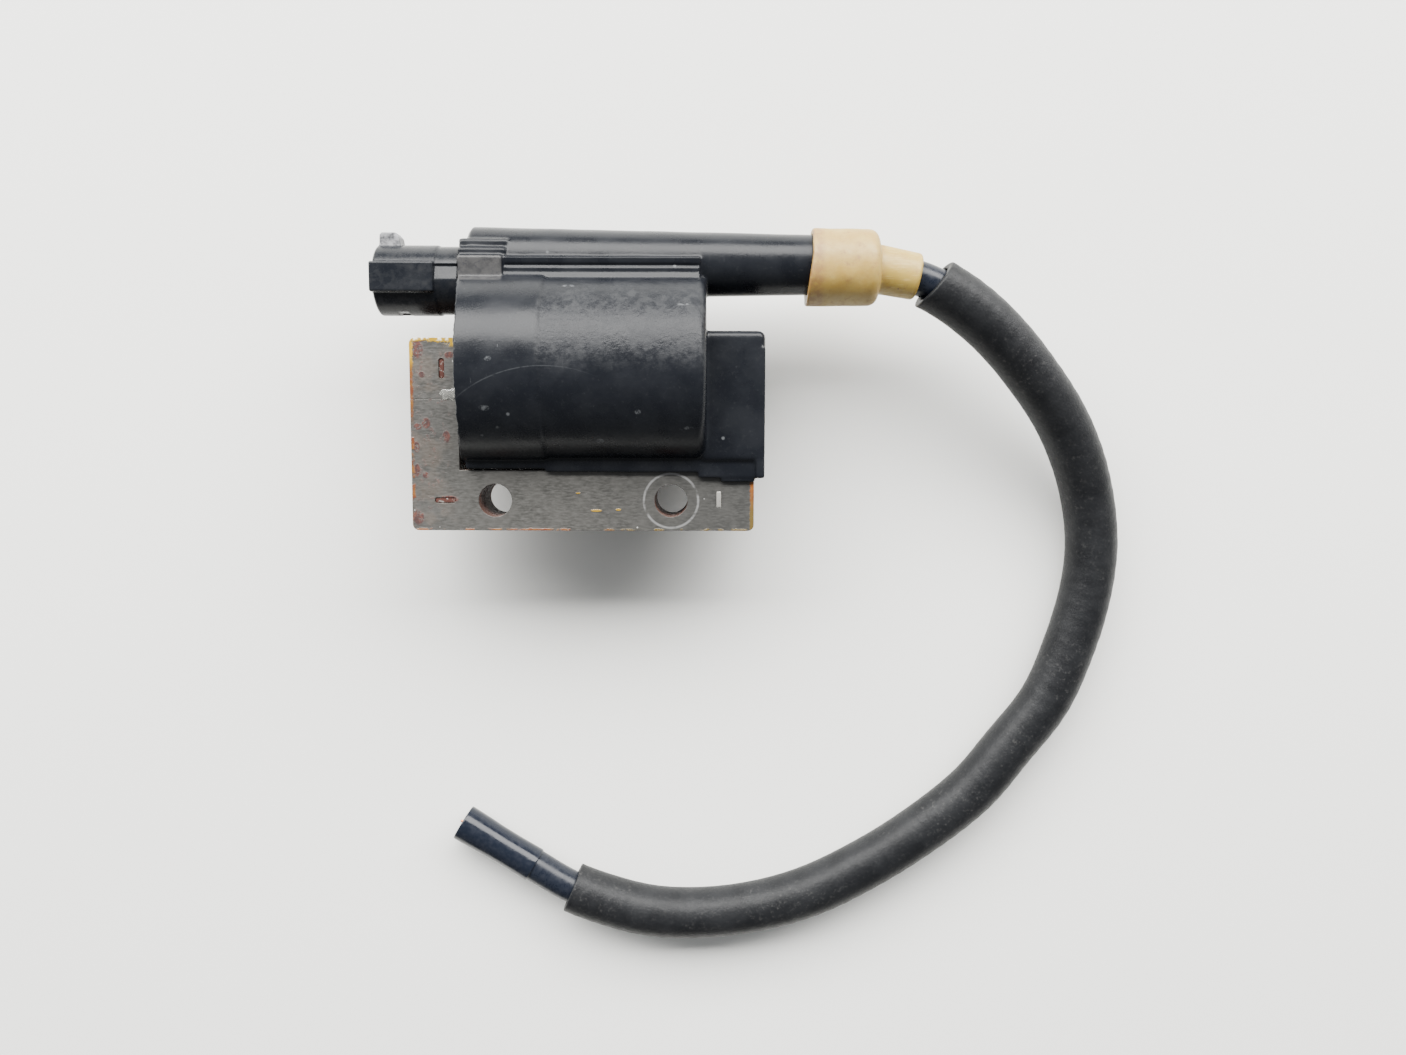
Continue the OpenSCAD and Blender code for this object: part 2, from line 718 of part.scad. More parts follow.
module lead_insulation() {
    color([0.06, 0.07, 0.09])
        swept_tube(lead_pts, lead_d / 2, lead_d / 2, wire_d / 2 + fit_gap);
}

module lead_conductor() {
    color([0.72, 0.36, 0.2])
        swept_rod(wire_pts, wire_d / 2);
}

module protective_hose() {
    color([0.11, 0.11, 0.11])
        swept_tube(hose_pts, hose_bore_r + hose_wall, hose_bore_r + hose_wall, hose_bore_r);
}

// The sleeve over the lead's cut end; it widens towards the cut.
module lead_end_sleeve() {
    color([0.05, 0.06, 0.08])
        swept_tube([lead_last, lead_tip], lead_d / 2 + sleeve_wall0, lead_d / 2 + sleeve_wall1,
                   lead_d / 2 + fit_gap);
}

coil_case();
connector_shell();
terminal_power();
terminal_signal();
u_core();
bar_core();
primary_bobbin();
primary_winding();
insulation_tape();
secondary_bobbin();
secondary_winding();
potting_compound();
primary_wire_power();
primary_wire_signal();
secondary_start_wire();
solder_joints();
hv_link();
hv_contact();
lead_boot();
lead_insulation();
lead_conductor();
protective_hose();
lead_end_sleeve();
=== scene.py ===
"""Ignition coil: the looks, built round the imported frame.

Lengths are in millimetres until `piece` turns a finished mesh into metres. X runs along the coil towards the
lead, Y from the bolted leg towards the coil, and Z is up.
"""
import math

import bmesh
import bpy
import numpy as np
from mathutils import Matrix, Vector, noise


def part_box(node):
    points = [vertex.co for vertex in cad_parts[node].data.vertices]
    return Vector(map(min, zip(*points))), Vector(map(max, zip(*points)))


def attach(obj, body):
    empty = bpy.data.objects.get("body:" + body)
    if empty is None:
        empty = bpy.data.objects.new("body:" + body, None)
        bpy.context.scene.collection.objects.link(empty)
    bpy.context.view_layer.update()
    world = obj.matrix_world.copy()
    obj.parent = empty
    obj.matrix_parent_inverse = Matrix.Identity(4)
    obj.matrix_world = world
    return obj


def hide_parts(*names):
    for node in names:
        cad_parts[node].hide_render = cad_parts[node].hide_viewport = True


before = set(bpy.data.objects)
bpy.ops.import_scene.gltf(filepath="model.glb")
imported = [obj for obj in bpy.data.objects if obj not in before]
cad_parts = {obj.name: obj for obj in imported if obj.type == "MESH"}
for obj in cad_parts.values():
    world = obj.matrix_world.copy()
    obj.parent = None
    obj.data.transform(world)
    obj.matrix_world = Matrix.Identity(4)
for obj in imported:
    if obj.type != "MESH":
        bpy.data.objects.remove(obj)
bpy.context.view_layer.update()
MM = 0.001
BODY = "root"


def box_mm(node):
    low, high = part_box(node)
    return low / MM, high / MM


# ---- Places, from the frame ----
CASE_LOW, CASE_HIGH = box_mm("coil_case")
U_LOW, U_HIGH = box_mm("u_core")
BAR_LOW, BAR_HIGH = box_mm("bar_core")
CON_LOW, CON_HIGH = box_mm("connector_shell")
BOOT_LOW = box_mm("lead_boot")[0]
BLADE_LOW, BLADE_HIGH = box_mm("terminal_power")
SIGNAL_LOW, SIGNAL_HIGH = box_mm("terminal_signal")
FLOOR_Z = CASE_LOW.z

COIL_Y = (BAR_LOW.y + BAR_HIGH.y) / 2
MID_Z = (CASE_LOW.z + CASE_HIGH.z) / 2
CASE_R = (CASE_HIGH.z - CASE_LOW.z) / 2
CASE_X0 = CASE_LOW.x
SIDE_LEG = 9.5
WINDOW_X = U_HIGH.x - SIDE_LEG
CASE_X1 = WINDOW_X - 0.1
TOWER_OUT = 1.6
TOWER_Y = COIL_Y + CASE_R + TOWER_OUT
TOWER_X1 = CASE_HIGH.x
TOWER_R0 = CASE_HIGH.y - TOWER_Y
TOWER_R1 = TOWER_R0 - 1.5
BORE_R = CASE_R - 2
BORE_X1 = CASE_X1 - 2.4
SLOT_GAP = 0.2
COVER_WALL = 1.8
CON_Y = COIL_Y + CASE_R - 1.8
CON_R = 6.9
LEAD_R = 3.5
LEAD_BORE_R = 1.0
HOSE_R = 5.5
HOSE_BORE_R = 3.9
STUD_X1 = BORE_X1 + 5.5

# Core: its sheets, the pressed tongues (centre and size of each) and the bolt holes.
SHEETS = 26
SHEET_EDGE = 0.045
SHEET_SPREAD = 0.03
SHEET_SLIP = 0.05
CORNER_R = 1.2
HOLE_X = 17.5
HOLE_R = 3.3
DIMPLES = {
    "left_leg": (-27.4, 0.0, 4.2, 1.1),
    "right_leg": (27.0, 0.3, 1.1, 3.3),
    "bar": (-27.7, 26.0, 1.1, 4.0),
}
DIMPLE_DEPTHS = (0.16, 0.02, 0.2)

# Case: the low ring at its left, the leg cover, the web and the connector block.
RING_X = -7.0
RING_STEP = 0.38
END_EDGE = 1.8
COVER_Y0 = 4.6
WEB_HALF = 7.7
BLOCK_LEN = 9.1
BLOCK_HALF = 8.5

# Connector and boot.
COLLAR_LEN = 12.2
SOCKET_DEPTH = 11.5
BOOT_R = 7.58
BOOT_DROOP = 0.5
NOZZLE_LEN = 8.2
NOZZLE_R0 = 4.85
NOZZLE_R1 = 4.65

# Grain of the skins that are remeshed.
CASE_VOXEL = 0.28
CONNECTOR_VOXEL = 0.17
BOOT_VOXEL = 0.22

# Route of the lead's free stretch, from the centre of the tower's mouth.
FREE_ROUTE = [
    (2, -0.8, 0), (10, -2.3, 0), (13.5, -3.7, 0), (22, -9, -1), (29, -15, -2.5),
    (35.5, -22, -4.5), (42, -30, -7.5), (47, -39, -10), (50.5, -48.5, -12.5),
    (52, -58.5, -13.5), (51, -69.5, -14), (48, -80.5, -14), (43, -93, -14),
    (35, -103.5, -14), (27.5, -113, -14), (14, -124, -14), (3, -131, -14),
    (-9, -137, -14), (-21, -140.5, -14), (-33, -142, -14), (-45, -141.5, -14),
    (-56, -138.5, -14), (-62.5, -136, -14), (-71, -131, -14.5), (-87, -121.5, -15.5),
]
HOSE_FIRST = 2
HOSE_LAST = 22
MOUTH = Vector((TOWER_X1, TOWER_Y, MID_Z))
FREE_POINTS = [MOUTH + Vector(p) for p in FREE_ROUTE]
LEAD_POINTS = [Vector((STUD_X1, TOWER_Y, MID_Z)), MOUTH] + FREE_POINTS


def new_object(name, data):
    thing = bpy.data.objects.new(name, data)
    bpy.context.scene.collection.objects.link(thing)
    return thing


# ---- Camera ----
CAMERA_PLACE = Vector((22.95, 15.87, 229.15))
CAMERA_TURN = (-5.6, -0.245, 0.141)
CAMERA_LENS = 27.84


def make_camera():
    data = bpy.data.cameras.new("camera")
    data.sensor_width = 36
    data.lens = CAMERA_LENS
    data.clip_start = 0.01
    camera = new_object("camera", data)
    turn = Matrix.Identity(4)
    for angle, axis in zip(CAMERA_TURN, "XYZ"):
        turn = turn @ Matrix.Rotation(math.radians(angle), 4, axis)
    camera.matrix_world = Matrix.Translation(CAMERA_PLACE * MM) @ turn
    bpy.context.scene.camera = camera


# ---- Mesh helpers ----
def to_mesh(name, points, faces, flat=False):
    """A new object from points in millimetres."""
    mesh = bpy.data.meshes.new(name)
    mesh.from_pydata(points, [], faces)
    thing = new_object(name, mesh)
    tidy(thing, flat)
    return thing


def tidy(thing, flat=False, merge=1e-4):
    """Merges doubled points, turns the faces outwards and sets the shading."""
    bm = bmesh.new()
    bm.from_mesh(thing.data)
    bmesh.ops.remove_doubles(bm, verts=bm.verts, dist=merge)
    bmesh.ops.recalc_face_normals(bm, faces=bm.faces)
    for face in bm.faces:
        face.smooth = not flat
    bm.to_mesh(thing.data)
    bm.free()


def settle(thing):
    """Replaces the object's mesh by what its modifiers make of it."""
    graph = bpy.context.evaluated_depsgraph_get()
    graph.update()
    done = bpy.data.meshes.new_from_object(thing.evaluated_get(graph))
    thing.modifiers.clear()
    thing.data = done


def drop(thing):
    bpy.data.objects.remove(thing, do_unlink=True)


def boolean(thing, others, operation):
    for other in others:
        step = thing.modifiers.new("cut", "BOOLEAN")
        step.object = other
        step.operation = operation
        step.solver = "MANIFOLD"
        settle(thing)
        drop(other)
    return thing


def remeshed(thing, voxel, rounds):
    """One even skin over the solid, with its edges softened."""
    step = thing.modifiers.new("skin", "REMESH")
    step.mode = "VOXEL"
    step.voxel_size = voxel
    step.use_smooth_shade = True
    settle(thing)
    step = thing.modifiers.new("soften", "SMOOTH")
    step.factor = 0.5
    step.iterations = rounds
    settle(thing)
    return thing


def joined(name, things):
    """Several objects as one."""
    bm = bmesh.new()
    for thing in things:
        bm.from_mesh(thing.data)
    mesh = bpy.data.meshes.new(name)
    bm.to_mesh(mesh)
    bm.free()
    for thing in things:
        drop(thing)
    return new_object(name, mesh)


def reshape(thing, change):
    """Moves each point by change(point), in millimetres."""
    count = len(thing.data.vertices)
    flat = np.empty(count * 3, dtype=np.float32)
    thing.data.vertices.foreach_get("co", flat)
    points = flat.reshape(-1, 3)
    points += change(points)
    thing.data.vertices.foreach_set("co", points.ravel())
    thing.data.update()


def wobble(points, size, seed=0.0):
    """Smooth noise from -1 to 1 at each point; size is the length of its waves in millimetres."""
    shift = Vector((seed, 2 * seed, 3 * seed))
    return np.array([noise.noise(Vector(p) / size + shift) for p in points.tolist()])


def outwards(points, y):
    """How far each point is from an axis along X at this y, and the direction away from it."""
    dy, dz = points[:, 1] - y, points[:, 2] - MID_Z
    away = np.hypot(dy, dz)
    return away, np.column_stack([np.zeros(len(points)), dy, dz]) / np.maximum(away, 1)[:, None]


def soft_step(value, low, high):
    t = np.clip((value - low) / (high - low), 0, 1)
    return t * t * (3 - 2 * t)


def bands(rows, sides, closed=False):
    """Faces between each loop of points and the next, and if closed from the last one to the first."""
    faces = []
    for i in range(rows if closed else rows - 1):
        a, b = i * sides, (i + 1) % rows * sides
        for k in range(sides):
            j = (k + 1) % sides
            faces.append((a + k, a + j, b + j, b + k))
    return faces


def caps(count, sides):
    """Faces that close the first and the last loop of points."""
    return [tuple(range(sides)), tuple(reversed(range(count - sides, count)))]


def lathe(name, profile, y, z, sides=128):
    """Turns (x, radius) points round an axis along X."""
    points = []
    for x, radius in profile:
        for k in range(sides):
            angle = 2 * math.pi * k / sides
            points.append((x, y + radius * math.cos(angle), z + radius * math.sin(angle)))
    return to_mesh(name, points, bands(len(profile), sides) + caps(len(points), sides))


def rod(x0, x1, radius, y, radius1=None):
    """A plain round solid along X, to cut with."""
    return lathe("rod", [(x0, radius), (x1, radius1 or radius)], y, MID_Z)


def arc(cx, cy, radius, first, last, steps=8):
    """Points on an arc, by its angles in degrees."""
    angles = np.radians(np.linspace(first, last, steps + 1))
    return [(cx + radius * math.cos(a), cy + radius * math.sin(a)) for a in angles]


def emptied(bm):
    """The points and faces of a bmesh, which is freed."""
    bm.verts.index_update()
    points = [tuple(v.co) for v in bm.verts]
    faces = [tuple(v.index for v in f.verts) for f in bm.faces]
    bm.free()
    return points, faces


def block(low, high, edge=0.0, steps=3):
    """A box with rounded edges."""
    bm = bmesh.new()
    bmesh.ops.create_cube(bm, size=1)
    low, high = Vector(low), Vector(high)
    size, middle = high - low, (high + low) / 2
    for vert in bm.verts:
        vert.co = Vector(a * b for a, b in zip(vert.co, size)) + middle
    if edge:
        bmesh.ops.bevel(bm, geom=bm.edges, offset=edge, segments=steps, profile=0.5, affect="EDGES")
    return to_mesh("block", *emptied(bm))


def prism(outline, axis, start, end):
    """A polygon pushed along an axis: its points are (y, z) for X and (x, y) for Z."""
    def place(a, b, c):
        return (c, a, b) if axis == "X" else (a, b, c)
    n = len(outline)
    points = [place(a, b, c) for c in (start, end) for a, b in outline]
    faces = [tuple(range(n)), tuple(range(2 * n - 1, n - 1, -1))]
    faces += [(i, (i + 1) % n, n + (i + 1) % n, n + i) for i in range(n)]
    return to_mesh("prism", points, faces)


# ---- Paths and tubes ----
def blend(t, start, end, a, b):
    """From a at start to b at end."""
    return (end - t) / (end - start) * a + (t - start) / (end - start) * b


def curve_through(points, step):
    """Evenly spaced points on a smooth curve through the given ones (centripetal Catmull-Rom)."""
    pts = [np.array(p, float) for p in points]
    pts = [2 * pts[0] - pts[1]] + pts + [2 * pts[-1] - pts[-2]]
    dense = []
    for p0, p1, p2, p3 in zip(pts, pts[1:], pts[2:], pts[3:]):
        t0 = 0.0
        t1 = t0 + np.linalg.norm(p1 - p0) ** 0.5
        t2 = t1 + np.linalg.norm(p2 - p1) ** 0.5
        t3 = t2 + np.linalg.norm(p3 - p2) ** 0.5
        for t in np.linspace(t1, t2, 24, endpoint=False):
            a1, a2, a3 = blend(t, t0, t1, p0, p1), blend(t, t1, t2, p1, p2), blend(t, t2, t3, p2, p3)
            dense.append(blend(t, t1, t2, blend(t, t0, t2, a1, a2), blend(t, t1, t3, a2, a3)))
    dense = np.array(dense + [pts[-2]])
    return evenly(relaxed(evenly(dense, 1.0), 12), step)


def distances(line):
    """How far along the line each point is."""
    return np.concatenate([[0], np.cumsum(np.linalg.norm(np.diff(line, axis=0), axis=1))])


def sampled(line, wanted):
    """The points at the wanted distances along the line."""
    along = distances(line)
    return np.column_stack([np.interp(wanted, along, line[:, k]) for k in range(3)])


def evenly(line, step):
    total = distances(line)[-1]
    return sampled(line, np.linspace(0, total, max(2, round(total / step)) + 1))


def relaxed(line, rounds):
    """Evens out the bends; the ends stay."""
    line = line.copy()
    for _ in range(rounds):
        line[1:-1] += 0.5 * ((line[:-2] + line[2:]) / 2 - line[1:-1])
    return line


def cross_frames(line):
    """At each point the heading, the direction to the left of it and the upward one."""
    ahead = np.gradient(line, axis=0)
    ahead /= np.linalg.norm(ahead, axis=1)[:, None]
    side = np.cross([0, 0, 1], ahead)
    side /= np.linalg.norm(side, axis=1)[:, None]
    return ahead, side, np.cross(ahead, side)


def tube(name, line, radius, bore, sides=40, slant=None, edge=0.3):
    """A tube along a line. radius(s, angle) is the outside at distance s; slant(s) moves points along it."""
    ahead, side, up = cross_frames(line)
    along = distances(line)
    total = along[-1]
    angles = 2 * math.pi * np.arange(sides) / sides
    cosine, sine = np.cos(angles), np.sin(angles)

    def ring(i, s, inner):
        lip = min(s, total - s)
        if inner:
            reach = np.full(sides, bore) + 0.4 * edge * max(0, 1 - lip / edge)
        else:
            rounding = edge - math.sqrt(max(0, edge ** 2 - max(0, edge - lip) ** 2))
            reach = radius(s, angles) - rounding
        out = np.outer(reach * cosine, side[i]) + np.outer(reach * sine, up[i])
        base = line[i] + out
        if slant is not None:
            base = base + np.outer(slant(s, total, reach * cosine, reach * sine), ahead[i])
        return base

    rows = len(line)
    outer = [ring(i, along[i], False) for i in range(rows)]
    inner = [ring(i, along[i], True) for i in range(rows)]
    loops = outer + inner[::-1]
    return to_mesh(name, np.vstack(loops).tolist(), bands(len(loops), sides, closed=True))


def solid_rod(line, radius, sides):
    """A solid round rod along a line."""
    _, side, up = cross_frames(line)
    angles = 2 * math.pi * np.arange(sides) / sides
    rings = [line[i] + radius * (np.outer(np.cos(angles), side[i]) + np.outer(np.sin(angles), up[i]))
             for i in range(len(line))]
    points = np.vstack(rings)
    return to_mesh("rod", points.tolist(), caps(len(points), sides) + bands(len(line), sides))


def with_ends(line, near):
    """The line with extra points close to both ends, where the edges are rounded."""
    along = distances(line)
    extra = list(near) + [along[-1] - e for e in near]
    return sampled(line, sorted(set(list(along) + extra)))


def part_of(line, start, end):
    """The stretch of a line between the points nearest to two places."""
    first = np.argmin(np.linalg.norm(line - np.array(start), axis=1))
    last = np.argmin(np.linalg.norm(line - np.array(end), axis=1))
    return line[first:last + 1]


# ---- Materials ----
class Finish:
    """One material. Each call adds a node and returns its socket; lengths are in millimetres."""

    def __init__(self, name):
        self.material = bpy.data.materials.new(name)
        self.material.use_nodes = True
        self.tree = self.material.node_tree
        self.shader = self.tree.nodes["Principled BSDF"]
        place = self.node("ShaderNodeTexCoord", {}).outputs["Object"]
        self.place = self.vector("SCALE", {0: place, "Scale": 1 / MM})
        self.x, self.y, self.z = self.node("ShaderNodeSeparateXYZ", {"Vector": self.place}).outputs[:3]

    def node(self, kind, inputs, **settings):
        made = self.tree.nodes.new(kind)
        for key, value in settings.items():
            setattr(made, key, value)
        for key, value in inputs.items():
            self.put(made.inputs[key], value)
        return made

    def put(self, socket, value):
        if isinstance(value, bpy.types.NodeSocket):
            self.tree.links.new(value, socket)
        elif isinstance(value, (tuple, list)) and len(value) == 3 and socket.type == "RGBA":
            socket.default_value = (*value, 1)
        else:
            socket.default_value = value

    def set(self, **inputs):
        for key, value in inputs.items():
            self.put(self.shader.inputs[key.replace("_", " ")], value)
        return self

    def vector(self, operation, inputs):
        return self.node("ShaderNodeVectorMath", inputs, operation=operation).outputs[0]

    def math(self, operation, a, b=0.0, clamp=False):
        return self.node("ShaderNodeMath", {0: a, 1: b}, operation=operation, use_clamp=clamp).outputs[0]

    def add(self, a, b):
        return self.math("ADD", a, b)

    def times(self, total, *values):
        for value in values:
            total = self.math("MULTIPLY", total, value)
        return total

    def minus(self, a, b):
        return self.math("SUBTRACT", a, b)

    def apart(self, a, b):
        return self.math("ABSOLUTE", self.minus(a, b))

    def ramp(self, value, low, high, out0=0.0, out1=1.0):
        """From out0 at low to out1 at high, smoothly and no further."""
        inputs = {"Value": value, "From Min": low, "From Max": high, "To Min": out0, "To Max": out1}
        return self.node("ShaderNodeMapRange", inputs, interpolation_type="SMOOTHSTEP").outputs[0]

    def noise(self, size, detail=4.0, rough=0.5, stretch=None, distortion=0.0):
        """Noise from 0 to 1 whose patches are about size millimetres wide."""
        place = self.place
        if stretch is not None:
            place = self.vector("MULTIPLY", {0: place, 1: stretch})
        inputs = {"Vector": place, "Scale": 1 / size, "Detail": detail, "Roughness": rough,
                  "Distortion": distortion}
        return self.node("ShaderNodeTexNoise", inputs).outputs["Fac"]

    def specks(self, spacing, radius):
        """Small round spots, 1 at their centres."""
        inputs = {"Vector": self.place, "Scale": 1 / spacing}
        far = self.node("ShaderNodeTexVoronoi", inputs).outputs["Distance"]
        return self.ramp(far, radius / spacing, 0.4 * radius / spacing)

    def spot(self, x, y, size_x, size_y, soft=0.35):
        """A patch with a soft edge at a place seen from above, 1 inside."""
        dx = self.math("DIVIDE", self.minus(self.x, x), size_x / 2)
        dy = self.math("DIVIDE", self.minus(self.y, y), size_y / 2)
        far = self.add(self.times(dx, dx), self.times(dy, dy))
        return self.ramp(far, 1 + soft, 1 - soft)

    def mix(self, share, a, b):
        return self.node("ShaderNodeMix", {0: share, 6: a, 7: b}, data_type="RGBA").outputs[2]

    def largest(self, total, *values):
        for value in values:
            total = self.math("MAXIMUM", total, value)
        return total

    def bump(self, height, depth, under=None):
        """Relief: depth is in millimetres for a height of 1."""
        inputs = {"Height": height, "Distance": depth * MM, "Strength": 1.0}
        if under is not None:
            inputs["Normal"] = under
        return self.node("ShaderNodeBump", inputs).outputs["Normal"]


def drawn_metal(name, colour, rough, metallic=1.0):
    """Plain drawn metal with fine lines."""
    m = Finish(name)
    lines = m.noise(0.25, stretch=(0.15, 1, 1))
    shade = m.mix(m.ramp(m.noise(1.5), 0.3, 0.7), tuple(c * 0.8 for c in colour), colour)
    m.set(Base_Color=shade, Metallic=metallic, Roughness=m.ramp(lines, 0.2, 0.8, rough, rough + 0.18))
    m.set(Normal=m.bump(lines, 0.01))
    return m.material


# The curved scratch on the case, and the places and sizes of its nicks, seen from above.
SCRATCH_X, SCRATCH_Y, SCRATCH_R = -5.9, 0.4, 25.6
CASE_NICKS = (
    (-17.2, 18.2, 1.9, 1.0), (-16.1, 27.3, 1.3, 0.9), (-18.4, 13.0, 0.6, 0.5), (11.5, 17.5, 1.1, 0.9),
    (4.0, 12.0, 1.6, 0.8), (20.0, 37.7, 2.2, 0.45), (-2.0, 41.5, 2.4, 0.5), (21.0, 14.5, 1.8, 0.6),
)


def case_finish():
    """Satin black moulding, scuffed on its crown, with a long curved scratch, small chips and a painted sheen
    on the block's flat top.
    """
    m = Finish("case_black")
    band = m.times(m.ramp(m.y, 23.0, 31.0), m.ramp(m.z, 14, 20))
    rough_part = m.times(band, m.ramp(m.x, -8.0, -6.6))
    patchy = m.noise(1.7, 6, 0.66)
    cloud = m.noise(6.0, 4, 0.55)
    scuffs = m.times(m.ramp(patchy, 0.40, 0.64), m.times(rough_part, m.ramp(cloud, 0.30, 0.60, 0.35, 1.0)))
    dust = m.ramp(m.noise(0.7, 5, 0.7), 0.55, 0.8)
    chips = m.times(m.specks(6.5, 0.45), m.ramp(m.noise(5.0), 0.42, 0.52))
    dx = m.minus(m.x, SCRATCH_X)
    dy = m.minus(m.y, SCRATCH_Y)
    far = m.math("SQRT", m.add(m.times(dx, dx), m.times(dy, dy)))
    arc_line = m.ramp(m.apart(far, SCRATCH_R), 0.16, 0.04)
    arc_span = m.times(m.ramp(m.x, -24, -19), m.ramp(m.x, 6, -8))
    broken = m.ramp(m.noise(1.3, 5, 0.7), 0.30, 0.55)
    scratch = m.times(arc_line, arc_span, m.times(broken, m.ramp(m.z, 18, 21)))
    fine = m.noise(0.5, 3, 0.6, stretch=(1, 0.12, 1))
    hairs = m.times(m.ramp(fine, 0.68, 0.78), m.ramp(m.noise(6.0), 0.48, 0.6))
    nicks = m.largest(*(m.spot(*place) for place in CASE_NICKS))
    nicks = m.times(nicks, m.ramp(m.noise(0.7, 4, 0.7), 0.40, 0.60, 0.0, 0.22))
    marks = m.largest(m.times(scratch, 0.07), m.times(chips, 0.3), m.times(hairs, 0.2), nicks)
    pad_top = m.times(m.ramp(m.y, 42.6, 43.0), m.ramp(m.y, 48.0, 47.6),
                      m.times(m.ramp(m.x, -15.0, -15.5), m.ramp(m.z, 14.6, 14.8)))
    worm = m.ramp(m.apart(m.noise(2.6, 3, 0.5), 0.5), 0.012, 0.004)
    black = m.mix(m.ramp(cloud, 0.3, 0.75), (0.0050, 0.0058, 0.0080), (0.0090, 0.0100, 0.0125))
    mottled_black = m.mix(m.times(scuffs, 0.6), black, (0.030, 0.031, 0.033))
    # Lighter, mottled grey on the block's flat top: a painted sheen, standing for its reflection of the room
    # above.
    mottled_black = m.mix(m.times(pad_top, m.ramp(patchy, 0.3, 0.6, 0.45, 0.9)), mottled_black, (0.045, 0.044, 0.044))
    mottled_black = m.mix(m.times(pad_top, worm, 0.7), mottled_black, (0.02, 0.02, 0.024))
    dusty = m.mix(m.times(dust, 0.10), mottled_black, (0.10, 0.10, 0.10))
    m.set(Base_Color=m.mix(marks, dusty, (0.24, 0.25, 0.26)))
    rough = m.add(m.ramp(cloud, 0.3, 0.7, 0.25, 0.32), m.times(scuffs, 0.22))
    rough = m.add(rough, m.times(rough_part, 0.05))
    m.set(Roughness=m.add(rough, m.times(marks, 0.2)), Specular_IOR_Level=0.19)
    grain = m.bump(m.noise(0.35, 3, 0.6), 0.012)
    cells = m.times(m.ramp(m.noise(1.1, 4, 0.6), 0.35, 0.6), rough_part)
    grain = m.bump(cells, 0.018, grain)
    dents = m.bump(m.noise(2.2, 5, 0.6), 0.04, grain)
    m.set(Normal=m.bump(m.minus(1.0, marks), 0.03, dents))
    return m.material


def connector_finish():
    m = Finish("connector_black")
    patchy = m.noise(1.6, 6, 0.65)
    black = m.mix(m.ramp(m.noise(4.0), 0.3, 0.7), (0.005, 0.006, 0.0085), (0.010, 0.011, 0.0135))
    ramp_top = m.times(m.ramp(m.y, 50.0, 50.8), m.ramp(m.x, -36.0, -37.0))
    mottled_black = m.mix(m.times(m.ramp(patchy, 0.45, 0.7), 0.5), black, (0.018, 0.0185, 0.020))
    m.set(Base_Color=m.mix(m.times(ramp_top, m.ramp(patchy, 0.3, 0.6)), mottled_black, (0.22, 0.22, 0.23)))
    m.set(Roughness=m.add(m.ramp(patchy, 0.3, 0.7, 0.22, 0.34), m.times(ramp_top, 0.2)))
    m.set(Specular_IOR_Level=0.2)
    grain = m.bump(m.noise(0.3, 4, 0.65), 0.012)
    m.set(Normal=m.bump(m.noise(1.3, 5), 0.02, grain))
    return m.material


# Places and sizes of the rust spots on the core, seen from above.
RUST_SPOTS = (
    (-32.4, 29.7, 2.4, 3.6), (-32.6, 31.6, 3.4, 1.0), (-26.0, 28.6, 2.2, 1.4), (-30.9, 15.3, 1.7, 2.1),
    (-27.0, 12.6, 1.5, 2.4), (-32.6, 14.6, 1.6, 1.3), (-32.9, 10.6, 1.2, 2.2), (-32.9, 6.0, 1.2, 2.6),
    (-31.6, 24.8, 1.3, 1.2), (-32.8, -3.4, 2.2, 3.0), (-26.8, 0.2, 4.0, 1.5), (-31.2, 5.0, 1.3, 1.2),
)


